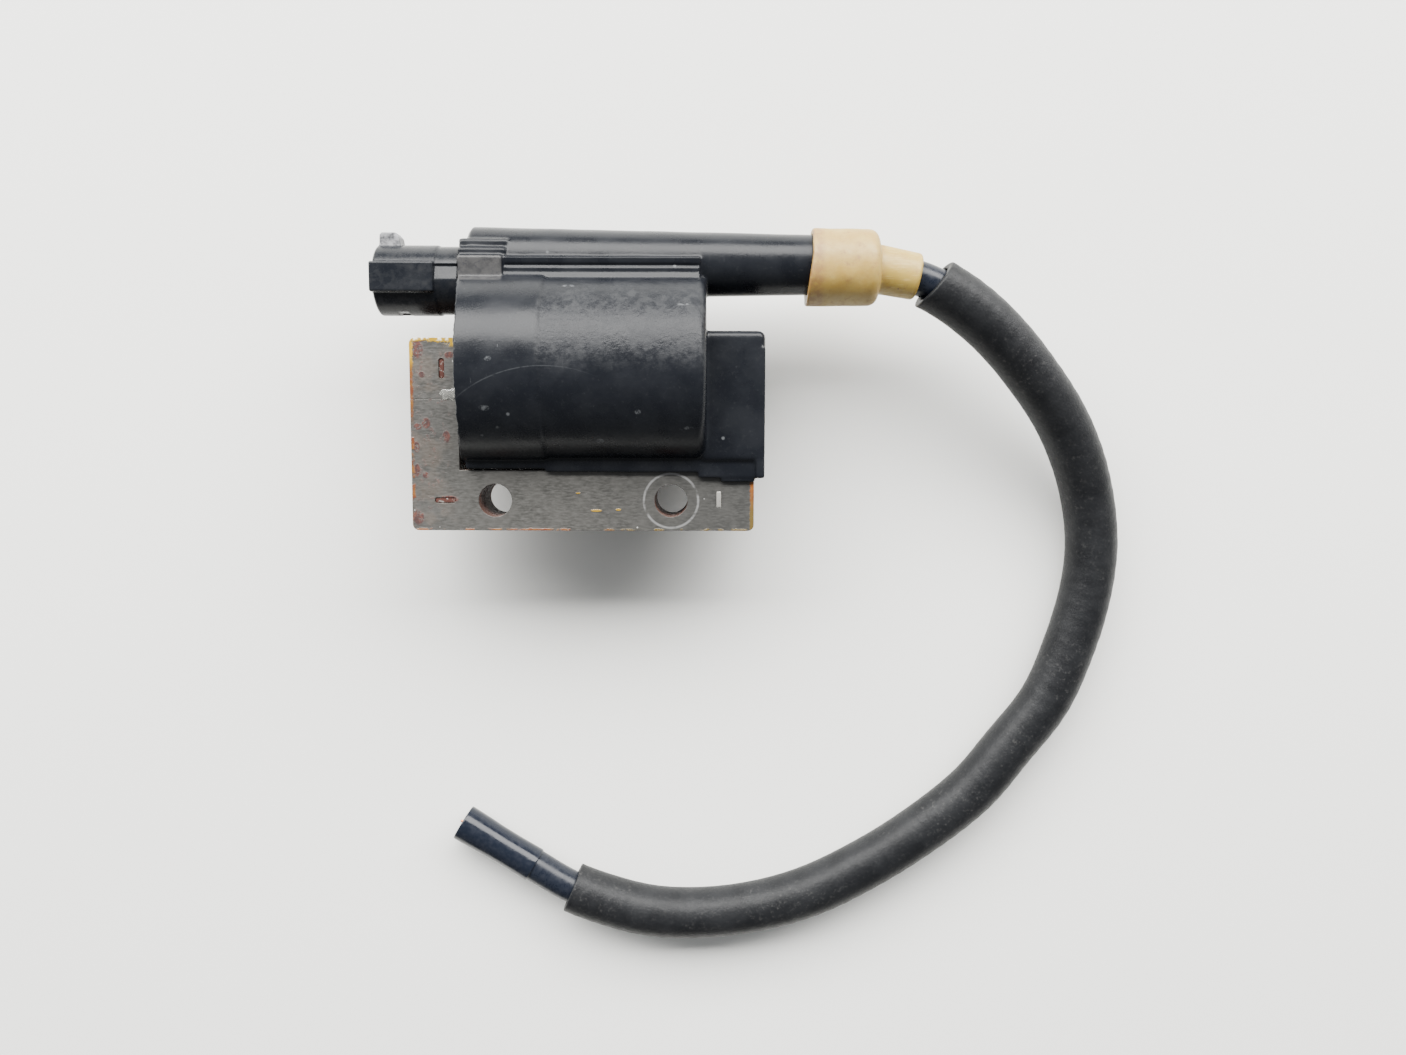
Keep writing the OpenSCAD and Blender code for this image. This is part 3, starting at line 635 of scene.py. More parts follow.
def steel_finish():
    """Rolled grey sheet with rust spots, varnish run along the edges and laminated, rusty sides."""
    m = Finish("lamination_steel")
    grain = m.noise(0.35, 5, 0.7, stretch=(0.25, 1, 1))
    blotch = m.noise(3.5, 5, 0.6)
    grey = m.mix(m.ramp(blotch, 0.3, 0.7), (0.056, 0.055, 0.051), (0.092, 0.089, 0.083))
    grey = m.mix(m.ramp(grain, 0.35, 0.7), grey, (0.105, 0.102, 0.096))
    grey = m.mix(m.ramp(m.x, -6, 26, 0.0, 0.45), grey, (0.045, 0.045, 0.044))
    lift = m.ramp(m.z, U_HIGH.z - 0.25, U_HIGH.z - 0.02)
    ragged = m.times(m.minus(m.noise(1.1, 5, 0.7), 0.5), 0.9)
    left = m.minus(m.x, U_LOW.x)
    right = m.minus(U_HIGH.x, m.x)
    top = m.minus(BAR_HIGH.y, m.y)
    front = m.minus(m.y, U_LOW.y)
    unbroken = m.largest(m.ramp(m.y, 14, 19), m.ramp(m.noise(2.4), 0.45, 0.55))
    edge_left = m.times(m.ramp(m.add(left, ragged), 0.85, 0.50), unbroken)
    edge_right = m.ramp(m.add(right, ragged), 0.95, 0.65)
    edge_top = m.ramp(m.add(top, m.times(ragged, 2.0)), 0.95, 0.55)
    edge_front = m.times(m.ramp(m.add(front, ragged), 0.5, 0.25), m.ramp(m.noise(2.5), 0.48, 0.56))
    yellow_end = m.times(m.spot(-25.6, 31.6, 3.4, 2.6, 0.6), m.ramp(m.noise(0.9, 5, 0.7), 0.40, 0.50))
    varnish = m.largest(edge_left, edge_right, edge_top, edge_front, yellow_end)
    flecks = m.largest(m.spot(2.6, -2.0, 2.2, 0.5), m.spot(7.0, -1.8, 1.1, 0.45), m.spot(-1.0, 1.5, 0.9, 0.3))
    varnish = m.times(m.largest(varnish, m.times(flecks, 0.8)), lift)
    height = m.ramp(m.y, 25.0, 28.5)
    orange = m.mix(m.ramp(m.noise(2.2, 4, 0.6), 0.35, 0.65), (0.115, 0.030, 0.012), (0.17, 0.070, 0.014))
    olive = m.mix(m.ramp(m.y, 1.5, -3.0), orange, (0.095, 0.062, 0.014))
    right_coat = m.mix(m.ramp(m.y, 1.0, 4.0), olive, (0.28, 0.09, 0.012))
    warm = m.mix(m.ramp(m.x, 0, 10), orange, right_coat)
    coat = m.mix(m.largest(height, m.times(flecks, 0.9)), warm, (0.36, 0.215, 0.0015))
    white_run = m.times(m.ramp(top, 0.7, 0.4), m.ramp(m.noise(1.6, 2), 0.5, 0.58))
    coat = m.mix(white_run, coat, (0.75, 0.72, 0.60))
    rust_noise = m.ramp(m.noise(1.5, 6, 0.68), 0.565, 0.64)
    patches = m.largest(*(m.spot(*place) for place in RUST_SPOTS))
    patches = m.times(patches, m.ramp(m.noise(0.8, 5, 0.7), 0.36, 0.50))
    left_part = m.ramp(m.x, -24, -30)
    thin = m.times(rust_noise, m.times(left_part, 0.55))
    rust = m.times(m.largest(patches, thin), lift)
    brown = m.mix(m.ramp(m.noise(0.6, 3), 0.35, 0.65), (0.028, 0.009, 0.008), (0.075, 0.022, 0.015))
    warm_stain = m.times(m.ramp(m.noise(5.0, 3), 0.48, 0.62), left_part, 0.15)
    face = m.mix(warm_stain, grey, (0.26, 0.19, 0.14))
    witness = m.spot(HOLE_X, 0.0, 11.2, 11.2, 0.05)
    inner = m.spot(HOLE_X, 0.0, 10.4, 10.4, 0.05)
    ring = m.times(witness, m.minus(1.0, inner), m.ramp(m.noise(2.0), 0.35, 0.55))
    face = m.mix(m.times(ring, 0.45), face, (0.42, 0.42, 0.42))
    face = m.mix(m.times(m.specks(2.6, 0.22), m.ramp(m.noise(4.0), 0.5, 0.62)), face, (0.62, 0.62, 0.60))
    face = m.mix(m.ramp(m.noise(0.22, 2), 0.69, 0.74), face, (0.05, 0.05, 0.05))
    sides = m.mix(m.ramp(m.noise(1.2, 5, 0.6, stretch=(0.4, 0.4, 1.5)), 0.42, 0.68),
                  (0.055, 0.046, 0.040), (0.11, 0.050, 0.028))
    bores = m.largest(*(m.spot(x, 0.0, 7.2, 7.2, 0.05) for x in (-HOLE_X, HOLE_X)))
    sides = m.mix(m.times(bores, 0.8), sides, (0.060, 0.020, 0.012))
    face = m.mix(lift, sides, face)
    face = m.mix(rust, face, brown)
    m.set(Base_Color=m.mix(m.times(varnish, 0.9), face, coat))
    metal = m.times(m.minus(1.0, m.largest(varnish, rust)), m.ramp(lift, 0, 1, 0.15, 0.55))
    rough = m.add(m.ramp(grain, 0.3, 0.7, 0.36, 0.50), m.times(rust, 0.35))
    m.set(Metallic=metal, Roughness=m.minus(rough, m.times(varnish, 0.22)))
    m.set(Normal=m.bump(m.add(varnish, m.times(rust, m.noise(0.3))), 0.05, m.bump(grain, 0.006)))
    return m.material


def slug_finish():
    """The pressed tongues in the top sheet: grey steel and rust, rustier on the left of the core."""
    m = Finish("interlock_steel")
    spread = m.ramp(m.x, -5, 5, 0.16, -0.1)
    rust = m.ramp(m.add(m.noise(0.9, 4, 0.7), spread), 0.5, 0.62)
    m.set(Base_Color=m.mix(rust, (0.30, 0.29, 0.27), (0.065, 0.020, 0.014)), Metallic=0.4)
    m.set(Roughness=m.ramp(rust, 0, 1, 0.3, 0.8), Normal=m.bump(m.noise(0.3), 0.02))
    return m.material


def boot_finish():
    """Aged tan rubber, dirty at its rim and shoulder; a little light passes through."""
    m = Finish("boot_tan")
    cloud = m.noise(4.0, 5, 0.6)
    tan = m.mix(m.ramp(cloud, 0.3, 0.7), (0.325, 0.207, 0.042), (0.385, 0.265, 0.070))
    nozzle = m.ramp(m.x, 59.0, 60.5)
    tan = m.mix(m.times(nozzle, 0.6), tan, (0.37, 0.255, 0.043))
    streaks = m.noise(0.5, 4, 0.6, stretch=(0.12, 1, 1))
    tan = m.mix(m.times(m.ramp(streaks, 0.5, 0.75), m.times(nozzle, 0.5)), tan, (0.56, 0.42, 0.17))
    rim = m.ramp(m.x, 48.3, 46.6)
    grime = m.noise(1.7, 6, 0.7)
    dirt = m.times(m.ramp(grime, 0.52, 0.70), m.ramp(m.noise(6.0), 0.38, 0.62, 0.25, 0.9))
    dirt = m.largest(dirt, m.times(rim, m.ramp(grime, 0.35, 0.6, 0.2, 0.9)))
    tan = m.mix(m.times(dirt, 0.7), tan, (0.20, 0.095, 0.042))
    spots = m.times(m.specks(4.2, 0.3), m.ramp(m.noise(3.0), 0.5, 0.56))
    m.set(Base_Color=m.mix(m.times(spots, 0.8), tan, (0.14, 0.07, 0.04)))
    m.set(Roughness=m.ramp(grime, 0.3, 0.7, 0.40, 0.58))
    m.set(Subsurface_Weight=0.25, Subsurface_Radius=(1.0, 0.55, 0.25), Subsurface_Scale=0.0015)
    m.set(Normal=m.bump(m.noise(2.4, 5, 0.6), 0.07, m.bump(m.noise(0.4, 4), 0.015)))
    return m.material


def lead_finish(name="lead_jacket", rough=0.24):
    """Glossy blue-black jacket with faint lines along it."""
    m = Finish(name)
    wipe = m.noise(1.2, 5, 0.6)
    m.set(Base_Color=m.mix(m.ramp(wipe, 0.35, 0.75), (0.0055, 0.0075, 0.013), (0.011, 0.013, 0.019)))
    m.set(Roughness=m.ramp(wipe, 0.3, 0.75, rough, rough + 0.14), Specular_IOR_Level=0.26)
    m.set(Normal=m.bump(m.noise(1.8, 4), 0.03, m.bump(m.noise(0.3, 3), 0.004)))
    return m.material


def hose_finish():
    """Matt rubber with fine cross wrinkles and a little dust."""
    m = Finish("hose_rubber")
    fine = m.noise(0.45, 6, 0.7)
    dust = m.times(m.ramp(m.noise(0.9, 6, 0.75), 0.52, 0.75), m.ramp(m.noise(14.0, 3), 0.4, 0.65, 0.3, 1.0))
    rubber = m.mix(m.ramp(m.noise(5.0, 4), 0.3, 0.7), (0.005, 0.0054, 0.0064), (0.0095, 0.0100, 0.0112))
    m.set(Base_Color=m.mix(m.times(dust, 0.42), rubber, (0.085, 0.083, 0.080)))
    m.set(Roughness=m.ramp(fine, 0.3, 0.7, 0.40, 0.55), Specular_IOR_Level=0.20)
    m.set(Normal=m.bump(m.noise(1.1, 5, 0.6), 0.09, m.bump(fine, 0.04)))
    return m.material


def resin_finish(name, colour, rough, clear=0.0):
    m = Finish(name)
    cloud = m.noise(3.0, 4)
    m.set(Base_Color=m.mix(m.ramp(cloud, 0.3, 0.7), colour, tuple(min(1, c * 1.5) for c in colour)))
    m.set(Roughness=m.ramp(cloud, 0.3, 0.7, rough, rough + 0.12), Transmission_Weight=clear)
    m.set(Normal=m.bump(m.noise(2.0, 3), 0.06))
    return m.material


def winding_finish(name, colour, pitch):
    """Enamelled wire wound round X: one turn every pitch, with painted shade in the grooves between turns."""
    m = Finish(name)
    turn = m.math("FRACT", m.math("DIVIDE", m.x, pitch))
    across = m.apart(turn, 0.5)
    height = m.math("SQRT", m.minus(0.26, m.times(across, across)))
    # Darker at the edges of each turn: painted shade in the grooves between turns.
    shade = m.mix(m.ramp(across, 0.3, 0.5), colour, tuple(c * 0.35 for c in colour))
    m.set(Base_Color=shade, Metallic=0.85, Roughness=m.ramp(m.noise(1.0), 0.3, 0.7, 0.25, 0.4))
    m.set(Normal=m.bump(height, pitch))
    return m.material


def plastic_finish(name, colour):
    m = Finish(name)
    shade = m.mix(m.ramp(m.noise(3.0), 0.3, 0.7), colour, tuple(c * 0.82 for c in colour))
    m.set(Base_Color=shade, Roughness=m.ramp(m.noise(0.8), 0.3, 0.7, 0.38, 0.52))
    m.set(Normal=m.bump(m.noise(0.4, 3), 0.01))
    return m.material


# ---- Pieces ----
def piece(thing, name, material, slot, *nodes):
    """Names a piece, turns it into metres, gives it its finish, attaches it to the body and hides the CAD
    nodes it stands for.
    """
    thing.data.transform(Matrix.Scale(MM, 4))
    thing.name = name
    thing.data.name = name
    thing.data.materials.clear()
    thing.data.materials.append(material)
    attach(thing, BODY)
    if nodes:
        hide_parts(*nodes)
    return thing


def make_lead():
    """The lead, its copper strands, its sleeve and the loose hose over it."""
    step = 0.9
    line = curve_through(LEAD_POINTS, step)
    close = (0.05, 0.12, 0.22, 0.35, 0.5)

    def lead_radius(s, angles):
        return np.full(len(angles), LEAD_R) + 0.02 * math.sin(s / 9)

    lead_line = with_ends(line, close)
    lead = tube("lead", lead_line, lead_radius, LEAD_BORE_R, sides=48)
    piece(lead, "high_tension_lead", lead_finish(), "lead_jacket", "lead_insulation")

    strands = []
    strand_r, lay, count = 0.29, 16.0, 6
    wire_line = line[int(5.5 / step):]
    ahead, side, up = cross_frames(wire_line)
    turns = 2 * math.pi * np.arange(len(wire_line)) * step / lay
    for k in range(count + 1):
        offset = 0 if k == count else 2.05 * strand_r
        angle = turns + 2 * math.pi * k / count
        path = wire_line + offset * (np.cos(angle)[:, None] * side + np.sin(angle)[:, None] * up)
        if k == 1:
            path = np.vstack([path, path[-1] + 0.5 * ahead[-1] + 0.35 * up[-1]])
        strands.append(solid_rod(path, strand_r, 8))
    copper = joined("strands", strands)
    tidy(copper)
    piece(copper, "lead_strands", drawn_metal("strand_copper", (0.72, 0.26, 0.12), 0.3), "conductor_copper",
          "lead_conductor")

    hose_line = with_ends(part_of(line, FREE_POINTS[HOSE_FIRST], FREE_POINTS[HOSE_LAST]), close)

    def hose_radius(s, angles):
        ripple = 0.035 * math.sin(s * 1.9 + 1.3 * math.sin(s / 7)) + 0.05 * math.sin(s / 6.5)
        oval = 0.07 * np.cos(2 * angles)
        return HOSE_R - 0.06 + ripple * (0.6 + 0.4 * np.cos(angles - 1.0)) + oval

    def hose_slant(s, total, sideways, upwards):
        """The first end is cut askew, and the other one a little."""
        first = max(0.0, 1 - s / 9) * (0.22 * sideways + 0.05 * upwards)
        last = max(0.0, 1 - (total - s) / 9) * -0.04 * sideways
        return first + last

    hose = tube("hose", hose_line, hose_radius, HOSE_BORE_R, sides=56, slant=hose_slant, edge=0.35)
    reshape(hose, lambda p: 0.05 * wobble(p, 2.3)[:, None] * np.array([0.6, 0.6, 0.5]))
    piece(hose, "protective_hose_skin", hose_finish(), "hose_rubber", "protective_hose")

    sleeve_line = with_ends(part_of(line, *FREE_POINTS[-2:]), close)
    sleeve_len = distances(sleeve_line)[-1]

    def sleeve_radius(s, angles):
        flare = 0.22 * soft_step(s, sleeve_len - 9, sleeve_len)
        waist = -0.10 * math.sin(math.pi * min(1, s / (sleeve_len - 6)))
        return np.full(len(angles), LEAD_R + 0.30 + flare + waist)

    sleeve = tube("sleeve", sleeve_line, sleeve_radius, LEAD_R + 0.06, sides=56, edge=0.3)
    reshape(sleeve, lambda p: 0.025 * wobble(p, 4.0, 2.0)[:, None])
    piece(sleeve, "cut_end_sleeve", lead_finish("sleeve_gloss", 0.13), "sleeve_plastic", "lead_end_sleeve")


def make_case(material):
    """The moulded case: round body, leg cover, tower, web and connector block, with its cavities."""
    x0, x1, r = CASE_X0, CASE_X1, CASE_R
    outline = [(x0, r - 0.15), (x0 + 0.15, r), (RING_X - 0.3, r), (RING_X + 0.3, r - RING_STEP)]
    outline += arc(x1 - END_EDGE, r - RING_STEP - END_EDGE, END_EDGE, 90, 0)
    body = lathe("case", outline, COIL_Y, MID_Z, 160)

    cover_top = U_HIGH.z + SLOT_GAP + COVER_WALL
    cover_low = -SLOT_GAP - COVER_WALL
    cover_x1 = U_HIGH.x + SLOT_GAP + COVER_WALL
    cover_y0, cover_y1 = COVER_Y0, BAR_HIGH.y + SLOT_GAP + 0.7 * COVER_WALL
    lip_low = U_HIGH.z + SLOT_GAP
    shelf_y = cover_y0 + 3.1
    shelf_top = cover_top - 0.75
    parts = [
        block((x1 - 1.5, shelf_y, cover_low), (cover_x1, cover_y1, cover_top), 1.4, 6),
        block((x1 - 1.5, cover_y0, cover_low), (cover_x1 - 0.4, cover_y1 - 2, shelf_top), 0.3),
        block((cover_x1 - COVER_WALL, cover_y0, cover_low), (cover_x1, cover_y1 - 3, cover_top), 0.4),
        block((27.4, cover_y0 - 0.85, lip_low), (cover_x1 - 1.9, cover_y0 + 2, shelf_top - 0.25), 0.15),
        block((RING_X - 0.3, 5.7, lip_low), (x1, 8.0, lip_low + 1.0), 0.2),
        block((x0 + 0.9, 6.3, U_HIGH.z - 3), (RING_X, 9.5, lip_low + 0.8), 0.25),
    ]

    tower = [(x0 + 1.5, TOWER_R0 - 0.9), (x0 + 2.3, TOWER_R0)]
    tower += [(TOWER_X1 - 0.4, TOWER_R1), (TOWER_X1, TOWER_R1 - 0.4)]
    parts.append(lathe("tower", tower, TOWER_Y, MID_Z, 128))

    top = WEB_HALF
    body_y = COIL_Y + math.sqrt((r - RING_STEP) ** 2 - top ** 2)
    upper = [(TOWER_Y + 0.45, top + 0.1), (TOWER_Y - 0.9, top), (TOWER_Y - 1.0, top - 0.4),
             (TOWER_Y - 1.4, top - 0.4), (TOWER_Y - 1.5, top), (TOWER_Y - 1.95, top + 0.05),
             (TOWER_Y - 2.05, top - 0.35), (TOWER_Y - 2.4, top - 0.35), (TOWER_Y - 2.5, top - 0.05),
             (TOWER_Y - 2.95, top + 0.16), (TOWER_Y - 3.4, top + 0.28), (TOWER_Y - 3.9, top + 0.3)]
    upper += [(body_y - 1.2, top + 0.3), (COIL_Y + 6, top + 2)]
    web = [(y, MID_Z + z) for y, z in upper] + [(y, MID_Z - z) for y, z in reversed(upper)]
    parts.append(prism(web, "X", x0 + 1.6, x1 - 1.2))
    knee = [(x1 - 4.0, TOWER_Y + 0.3), (x1 - 4.0, COIL_Y + 9)]
    knee += [(x1 - 0.9, COIL_Y + 9), (x1 - 0.9, TOWER_Y - 5.2)]
    knee += arc(x1 + 1.6, TOWER_Y - 5.2, 2.5, 180, 100, 6)
    parts.append(prism(knee, "Z", MID_Z - 4.4, MID_Z + 4.4))

    pad_end, half = x0 + BLOCK_LEN, BLOCK_HALF
    parts += [
        block((x0, COIL_Y + 6, MID_Z - half), (pad_end, TOWER_Y + 0.55, MID_Z + half), 0.3),
        block((x0, COIL_Y + 6, MID_Z - half + 0.8), (pad_end + 0.6, TOWER_Y + 2.2, MID_Z + half - 0.9), 0.45),
        block((x0, COIL_Y + 6, MID_Z - half + 1.8), (pad_end + 1.1, TOWER_Y + 4.1, MID_Z + half - 1.9), 0.6),
    ]
    boolean(body, parts, "UNION")

    slot_half = (BAR_HIGH.y - BAR_LOW.y) / 2 + SLOT_GAP
    slot_low, slot_high = U_LOW.z - SLOT_GAP, U_HIGH.z + SLOT_GAP
    tunnel_r = math.hypot(slot_half, (slot_high - slot_low) / 2) + 1.05
    tunnel_half_y, tunnel_half_z = slot_half + 1.05, (slot_high - slot_low) / 2 + 1.05
    chamber = rod(x0 - 1, BORE_X1, BORE_R, COIL_Y)
    sleeve = rod(x0 - 2, BORE_X1 + 2, tunnel_r, COIL_Y)
    sleeve_box = block((x0 - 2, COIL_Y - tunnel_half_y, MID_Z - tunnel_half_z),
                       (BORE_X1 + 2, COIL_Y + tunnel_half_y, MID_Z + tunnel_half_z))
    boolean(sleeve, [sleeve_box], "INTERSECT")
    boolean(chamber, [sleeve], "DIFFERENCE")
    start_x = BORE_X1 - 7.0
    cuts = [
        chamber,
        rod(x0 - 1, start_x, CON_R - 0.8, CON_Y),
        rod(x0 + 5, BORE_X1 - 2, 4.0, TOWER_Y),
        block((BORE_X1 - 8, COIL_Y + 12, MID_Z - 3), (BORE_X1 - 2.0, TOWER_Y, MID_Z + 3)),
        rod(BORE_X1 - 3, STUD_X1 + 1, 1.55, TOWER_Y),
        rod(STUD_X1 - 0.1, TOWER_X1 + 1, LEAD_R + 0.15, TOWER_Y),
        block((x0 - 1, COIL_Y - slot_half, slot_low), (U_HIGH.x, COIL_Y + slot_half, slot_high)),
        block((x1, cover_y0 - 3, slot_low), (U_HIGH.x + SLOT_GAP, BAR_HIGH.y + SLOT_GAP, slot_high)),
        block((BORE_X1, cover_y0 - 3, slot_low), (U_HIGH.x, 6.2, slot_high)),
    ]
    boolean(body, cuts, "DIFFERENCE")
    remeshed(body, CASE_VOXEL, 3)

    def wear(p):
        """A ragged mouth that is set back at the crown, and walls that are not quite true."""
        move = np.zeros_like(p)
        near = soft_step(-p[:, 0], -x0 - 0.8, -x0)
        away, out = outwards(p, COIL_Y)
        rim = near * soft_step(away, BORE_R - 0.5, BORE_R + 0.5)
        ragged = 0.10 + 0.16 * wobble(p, 1.6) + 0.08 * wobble(p, 0.6, 4.0)
        up = (p[:, 2] - MID_Z) / np.maximum(away, 1)
        outer = soft_step(away, BORE_R - 2.5, BORE_R - 0.5)
        cut_back = (0.3 + 1.3 * soft_step(up, 0.33, 1)) * outer * soft_step(-p[:, 0], -x0 - 5, -x0)
        move[:, 0] = rim * ragged + cut_back
        slow = 0.05 * wobble(p, 6.0, 1.0)
        return move + out * (slow * soft_step(away, 15, 18))[:, None]

    reshape(body, wear)
    piece(body, "moulded_case", material, "case_plastic", "coil_case")


def make_connector(material):
    """The receptacle: barrel with socket, keying rib, side window and locking ramp."""
    x0, x1 = CON_LOW.x, CASE_X0
    collar_end = x0 + COLLAR_LEN
    shape = [(x0, CON_R - 0.35), (x0 + 0.35, CON_R + 0.05), (collar_end - 0.1, CON_R + 0.05),
             (collar_end + 0.1, CON_R - 0.2), (x1, CON_R - 0.2), (x1, CON_R - 0.9), (CON_HIGH.x, CON_R - 0.9)]
    barrel = lathe("barrel", shape, CON_Y, MID_Z, 128)
    ramp = [(x0 + 0.2, CON_Y + 3), (x0 + 0.45, CON_HIGH.y - 0.5), (x0 + 0.9, CON_HIGH.y)]
    ramp += [(x0 + 3.6, CON_HIGH.y), (x0 + 4.4, CON_HIGH.y - 0.9), (x0 + 5.2, CON_Y + 3)]
    boolean(barrel, [
        block((x0 - 0.3, CON_Y - 2.9, MID_Z + 3), (collar_end, CON_Y + 2.9, MID_Z + CON_R + 0.7), 0.25),
        prism(ramp, "Z", MID_Z - 2.0, MID_Z + 2.0),
    ], "UNION")
    hinge_y, hinge_z = CON_Y + 2.4, MID_Z + CON_R - 1.1
    window = block((collar_end, CON_Y - 3.2, hinge_z), (x1 + 0.2, hinge_y, MID_Z + CON_R + 2))
    tilt = math.radians(-17)

    def tipped(p):
        dy, dz = p[:, 1] - hinge_y, p[:, 2] - hinge_z
        turned = np.column_stack([p[:, 0], hinge_y + dy * math.cos(tilt) - dz * math.sin(tilt),
                                  hinge_z + dy * math.sin(tilt) + dz * math.cos(tilt)])
        return turned - p

    reshape(window, tipped)
    nick_y = CON_Y - CON_R
    cuts = [
        rod(x0 - 1, x0 + SOCKET_DEPTH, CON_R - 1.2, CON_Y),
        window,
        block((x0 + 4.0, nick_y - 0.6, MID_Z - 1.5), (x0 + 6.2, nick_y + 0.5, MID_Z + 3.4)),
    ]
    gap = Vector((1, 0.05, 0.05))
    for low, high in ((BLADE_LOW, BLADE_HIGH), (SIGNAL_LOW, SIGNAL_HIGH)):
        cuts.append(block(low - gap, high + gap))
    boolean(barrel, cuts, "DIFFERENCE")
    remeshed(barrel, CONNECTOR_VOXEL, 3)
    reshape(barrel, lambda p: 0.03 * wobble(p, 3.0)[:, None] * np.array([0.3, 0.6, 0.6]))
    piece(barrel, "connector_receptacle", material, "connector_plastic", "connector_shell")


def make_blades(material):
    """Flat terminals with a chamfered tip."""
    for node in ("terminal_power", "terminal_signal"):
        low, high = box_mm(node)
        blade = block(low, high, 0.12, 2)

        def taper(p, low=low, high=high):
            near = 1 - soft_step(p[:, 0], low.x, low.x + 1.3)
            middle = (np.array(low) + np.array(high)) / 2
            move = (middle - p) * 0.45 * near[:, None]
            move[:, 0] = 0
            return move

        step = blade.modifiers.new("rows", "SUBSURF")
        step.subdivision_type = "SIMPLE"
        step.levels = step.render_levels = 3
        settle(blade)
        reshape(blade, taper)
        piece(blade, node + "_blade", material, "terminal_tin", node)


def sheet_mesh(loops, thick):
    """One lamination: outlines with holes, filled, with broken edges. The first loop is the outside."""
    curve = bpy.data.curves.new("sheet", "CURVE")
    curve.dimensions = "2D"
    curve.fill_mode = "BOTH"
    for loop in loops:
        spline = curve.splines.new("POLY")
        spline.points.add(len(loop) - 1)
        for point, (x, y) in zip(spline.points, loop):
            point.co = (x, y, 0, 1)
        spline.use_cyclic_u = True
    curve.extrude = thick / 2 - SHEET_EDGE
    curve.bevel_depth = SHEET_EDGE
    curve.bevel_resolution = 1
    curve.offset = -SHEET_EDGE
    thing = new_object("sheet", curve)
    graph = bpy.context.evaluated_depsgraph_get()
    mesh = bpy.data.meshes.new_from_object(thing.evaluated_get(graph))
    drop(thing)
    points = np.array([tuple(v.co) for v in mesh.vertices])
    faces = [tuple(p.vertices) for p in mesh.polygons]
    return points, faces


def rounded(x0, y0, x1, y1, radii):
    """A rectangle with a radius for each corner, starting at its lowest X and Y."""
    loop = []
    corners = ((x0, y0, 1, 1, 180), (x1, y0, -1, 1, 270), (x1, y1, -1, -1, 0), (x0, y1, 1, -1, 90))
    for (x, y, dx, dy, first), r in zip(corners, radii):
        loop += arc(x + dx * r, y + dy * r, r, first, first + 90, 6) if r else [(x, y)]
    return loop


def circle(x, y, r, steps=48):
    return arc(x, y, r, 0, 360 - 360 / steps, steps - 1)


def slot_loop(x, y, size_x, size_y):
    r = min(size_x, size_y) / 2
    return rounded(x - size_x / 2, y - size_y / 2, x + size_x / 2, y + size_y / 2, (r * 0.9,) * 4)


def stack(name, loops, top_loops, seed):
    """A pile of laminations, each a little out of line with the next."""
    rng = np.random.default_rng(seed)
    thick = (U_HIGH.z - U_LOW.z) / SHEETS
    plain, plain_faces = sheet_mesh(loops, thick)
    top, top_faces = sheet_mesh(top_loops, thick)
    points, faces, count = [], [], 0
    for k in range(SHEETS):
        last = k == SHEETS - 1
        base, base_faces = (top, top_faces) if last else (plain, plain_faces)
        slip = rng.normal(0, SHEET_SPREAD, 2).clip(-SHEET_SLIP, SHEET_SLIP)
        shift = np.array([*slip, U_LOW.z + (k + 0.5) * thick])
        if last:
            shift[:2] = 0
        points.append(base + shift)
        faces += [tuple(i + count for i in f) for f in base_faces]
        count += len(base)
    return to_mesh(name, np.vstack(points).tolist(), faces, flat=True)


def make_core(steel, slug_steel):
    """The two stacks of sheets, and the tongues pressed into the top ones."""
    x0, x1, y0, y1 = U_LOW.x, U_HIGH.x, U_LOW.y, U_HIGH.y
    leg_top = -y0
    window = [(WINDOW_X, y1), (WINDOW_X, leg_top), (-WINDOW_X, leg_top), (-WINDOW_X, y1)]
    u_loop = rounded(x0, y0, x1, y1, (CORNER_R, CORNER_R, 0, 0))[:-1] + window + [(x0, y1)]
    holes = [circle(x, 0, HOLE_R) for x in (-HOLE_X, HOLE_X)]
    marks = {key: slot_loop(*value) for key, value in DIMPLES.items()}
    u_top = [u_loop] + holes + [marks["left_leg"], marks["right_leg"]]
    piece(stack("u", [u_loop] + holes, u_top, 3), "u_lamination_stack", steel, "lamination_steel", "u_core")
    bar_loop = rounded(x0, BAR_LOW.y, x1, BAR_HIGH.y, (0, 0, CORNER_R, CORNER_R))
    bar = stack("bar", [bar_loop], [bar_loop, marks["bar"]], 5)
    piece(bar, "bar_lamination_stack", steel, "lamination_steel", "bar_core")
    tongues = []
    gap = 0.03
    for (x, y, size_x, size_y), sink in zip(DIMPLES.values(), DIMPLE_DEPTHS):
        low = (x - size_x / 2 + gap, y - size_y / 2 + gap, U_HIGH.z - 0.5)
        high = (x + size_x / 2 - gap, y + size_y / 2 - gap, U_HIGH.z - sink)
        tongues.append(block(low, high, 0.22, 4))
    piece(joined("tongues", tongues), "interlock_tongues", slug_steel, "lamination_steel")


def make_joint_resin(material):
    """Clear resin that has run over the joint of the stacks beside the case."""
    bm = bmesh.new()
    bmesh.ops.create_icosphere(bm, subdivisions=5, radius=1)
    points, faces = emptied(bm)
    points = np.array(points)
    spread = 1 + 0.5 * wobble(points * 2.0, 1.3, 7.0)
    shaped = np.column_stack([points[:, 0] * 1.9 * spread, points[:, 1] * 1.15 * spread,
                              np.maximum(points[:, 2], -0.1) * 0.22])
    shaped += np.array([-26.0, BAR_LOW.y + 0.9, U_HIGH.z + 0.01])
    piece(to_mesh("resin", shaped.tolist(), faces), "joint_resin", material, "epoxy")


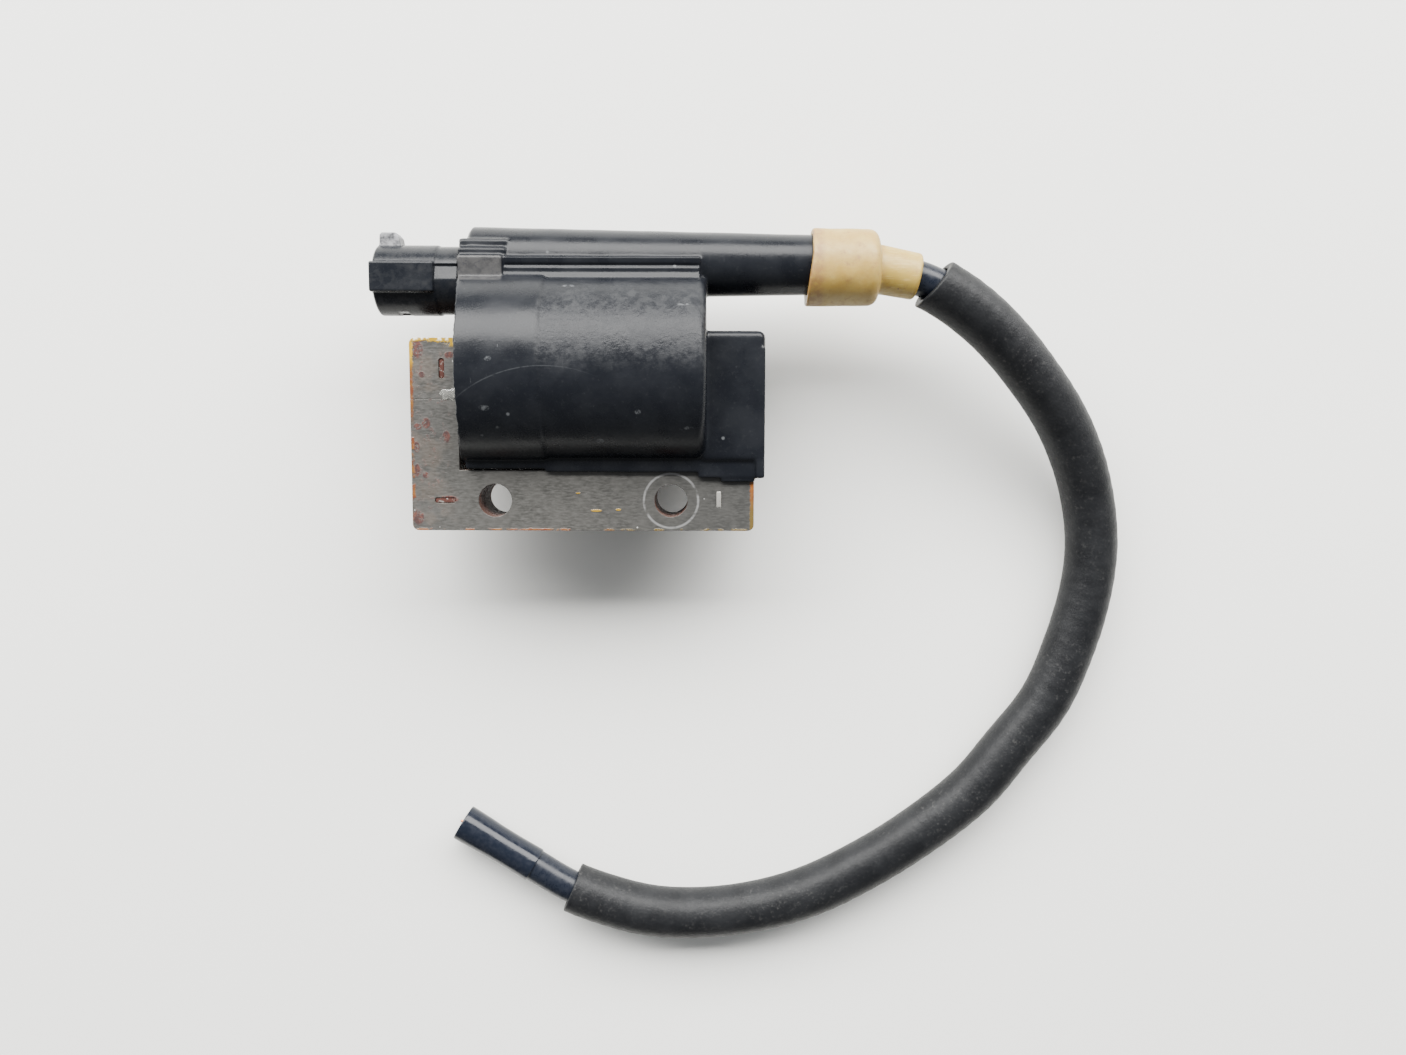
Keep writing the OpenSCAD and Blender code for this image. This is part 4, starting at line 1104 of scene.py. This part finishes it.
def make_boot(material):
    """The soft boot: a skewed, slightly wavy cup with a nozzle that follows the lead."""
    x0, x1 = BOOT_LOW.x, TOWER_X1 + 1.8
    r, shoulder = BOOT_R, 2.0
    cup = [(x0, r - 0.15), (x0 + 0.3, r), (x0 + 5, r + 0.06)]
    cup += arc(x1 - shoulder, r - shoulder, shoulder, 88, 0)
    boot = lathe("boot", cup, TOWER_Y - BOOT_DROOP, MID_Z, 128)
    start, end = FREE_POINTS[0], FREE_POINTS[1]
    turn = Matrix.Rotation(math.atan2(end.y - start.y, end.x - start.x), 4, "Z")
    nozzle_edge = 0.8
    nozzle_shape = [(-1.5, NOZZLE_R0), (0, NOZZLE_R0)]
    nozzle_shape += arc(NOZZLE_LEN - nozzle_edge, NOZZLE_R1 - nozzle_edge, nozzle_edge, 90, 0)
    nozzle = lathe("nozzle", nozzle_shape, 0, 0, 96)
    bore = lathe("bore", [(-3.5, LEAD_R + 0.12), (NOZZLE_LEN + 2, LEAD_R + 0.12)], 0, 0, 96)
    for thing in (nozzle, bore):
        thing.data.transform(Matrix.Translation(start) @ turn)
    boolean(boot, [nozzle], "UNION")
    slope = (TOWER_R0 - TOWER_R1) / (TOWER_X1 - CASE_X0)
    open_r = TOWER_R1 + slope * (TOWER_X1 - x0 + 1) + 0.05
    cavity = rod(x0 - 1, TOWER_X1 + 0.05, open_r, TOWER_Y, radius1=TOWER_R1 + 0.05)
    boolean(boot, [cavity, bore], "DIFFERENCE")
    remeshed(boot, BOOT_VOXEL, 5)

    def sag(p):
        move = np.zeros_like(p)
        near = 1 - soft_step(p[:, 0], x0, x0 + 7)
        across = (p[:, 1] - TOWER_Y) / r
        move[:, 0] = near * (0.62 * across + 0.22 * wobble(p, 4.0, 3.0))
        away, out = outwards(p, TOWER_Y)
        cup_only = soft_step(away, 6.2, 6.9)
        bulge = 0.12 * wobble(p, 3.5, 5.0) + 0.10 * near
        return move + out * (bulge * cup_only)[:, None]

    reshape(boot, sag)
    piece(boot, "rubber_boot", material, "boot_rubber", "lead_boot")


def finish_inner_nodes():
    """Finishes for the CAD nodes that stay: the coils, their bobbins, the wires and the compound."""
    pale = plastic_finish("bobbin_plastic", (0.52, 0.48, 0.36))
    copper = drawn_metal("wire_copper", (0.62, 0.24, 0.10), 0.28)
    finishes = {
        "primary_bobbin": pale, "secondary_bobbin": pale,
        "primary_winding": winding_finish("primary_enamel", (0.55, 0.17, 0.06), 0.5),
        "secondary_winding": winding_finish("secondary_enamel", (0.42, 0.10, 0.04), 0.12),
        "insulation_tape": plastic_finish("tape_film", (0.66, 0.50, 0.14)),
        "potting_compound": resin_finish("potting_resin", (0.012, 0.012, 0.014), 0.22),
        "primary_wire_power": copper, "primary_wire_signal": copper, "secondary_start_wire": copper,
        "solder_joints": drawn_metal("solder_metal", (0.60, 0.60, 0.60), 0.3),
        "hv_link": drawn_metal("link_metal", (0.62, 0.62, 0.60), 0.25),
        "hv_contact": drawn_metal("contact_metal", (0.70, 0.52, 0.22), 0.25),
    }
    for node, material in finishes.items():
        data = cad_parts[node].data
        if not data.materials:
            data.materials.append(material)
        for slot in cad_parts[node].material_slots:
            slot.material = material


# ---- Floor and light ----
FLOOR_HALF = 620
ROOM_STRENGTH = 0.34
WINDOW_PLACE = Vector((-20, 950, 760))
WINDOW_AIM = Vector((20, 20, 0))
WINDOW_SIZE = (3600, 760)
WINDOW_POWER = 186.0


def make_floor():
    corners = [(x * FLOOR_HALF, y * FLOOR_HALF, FLOOR_Z) for x, y in ((-1, -1), (1, -1), (1, 1), (-1, 1))]
    floor = to_mesh("floor", corners, [(0, 1, 2, 3)])
    m = Finish("floor_white")
    m.set(Base_Color=(0.80, 0.80, 0.775), Roughness=0.55, Specular_IOR_Level=0.25)
    floor.data.transform(Matrix.Scale(MM, 4))
    floor.data.materials.append(m.material)


def make_light():
    """A wide window low on the far side, and a dim grey room."""
    world = bpy.data.worlds.new("studio")
    world.use_nodes = True
    back = world.node_tree.nodes["Background"]
    back.inputs["Color"].default_value = (0.96, 0.98, 1.0, 1)
    back.inputs["Strength"].default_value = ROOM_STRENGTH
    bpy.context.scene.world = world
    data = bpy.data.lights.new("window", "AREA")
    data.shape = "RECTANGLE"
    data.size, data.size_y = (s * MM for s in WINDOW_SIZE)
    data.energy = WINDOW_POWER
    data.color = (1.0, 0.995, 0.975)
    window = new_object("window", data)
    window.rotation_euler = (WINDOW_AIM - WINDOW_PLACE).to_track_quat("-Z", "Y").to_euler()
    window.location = WINDOW_PLACE * MM


# ---- The whole scene ----
make_camera()
make_lead()
make_case(case_finish())
make_connector(connector_finish())
make_blades(drawn_metal("blade_tin", (0.62, 0.62, 0.60), 0.25))
make_core(steel_finish(), slug_finish())
make_joint_resin(resin_finish("joint_epoxy", (0.62, 0.62, 0.58), 0.06, clear=0.85))
make_boot(boot_finish())
finish_inner_nodes()
make_floor()
make_light()
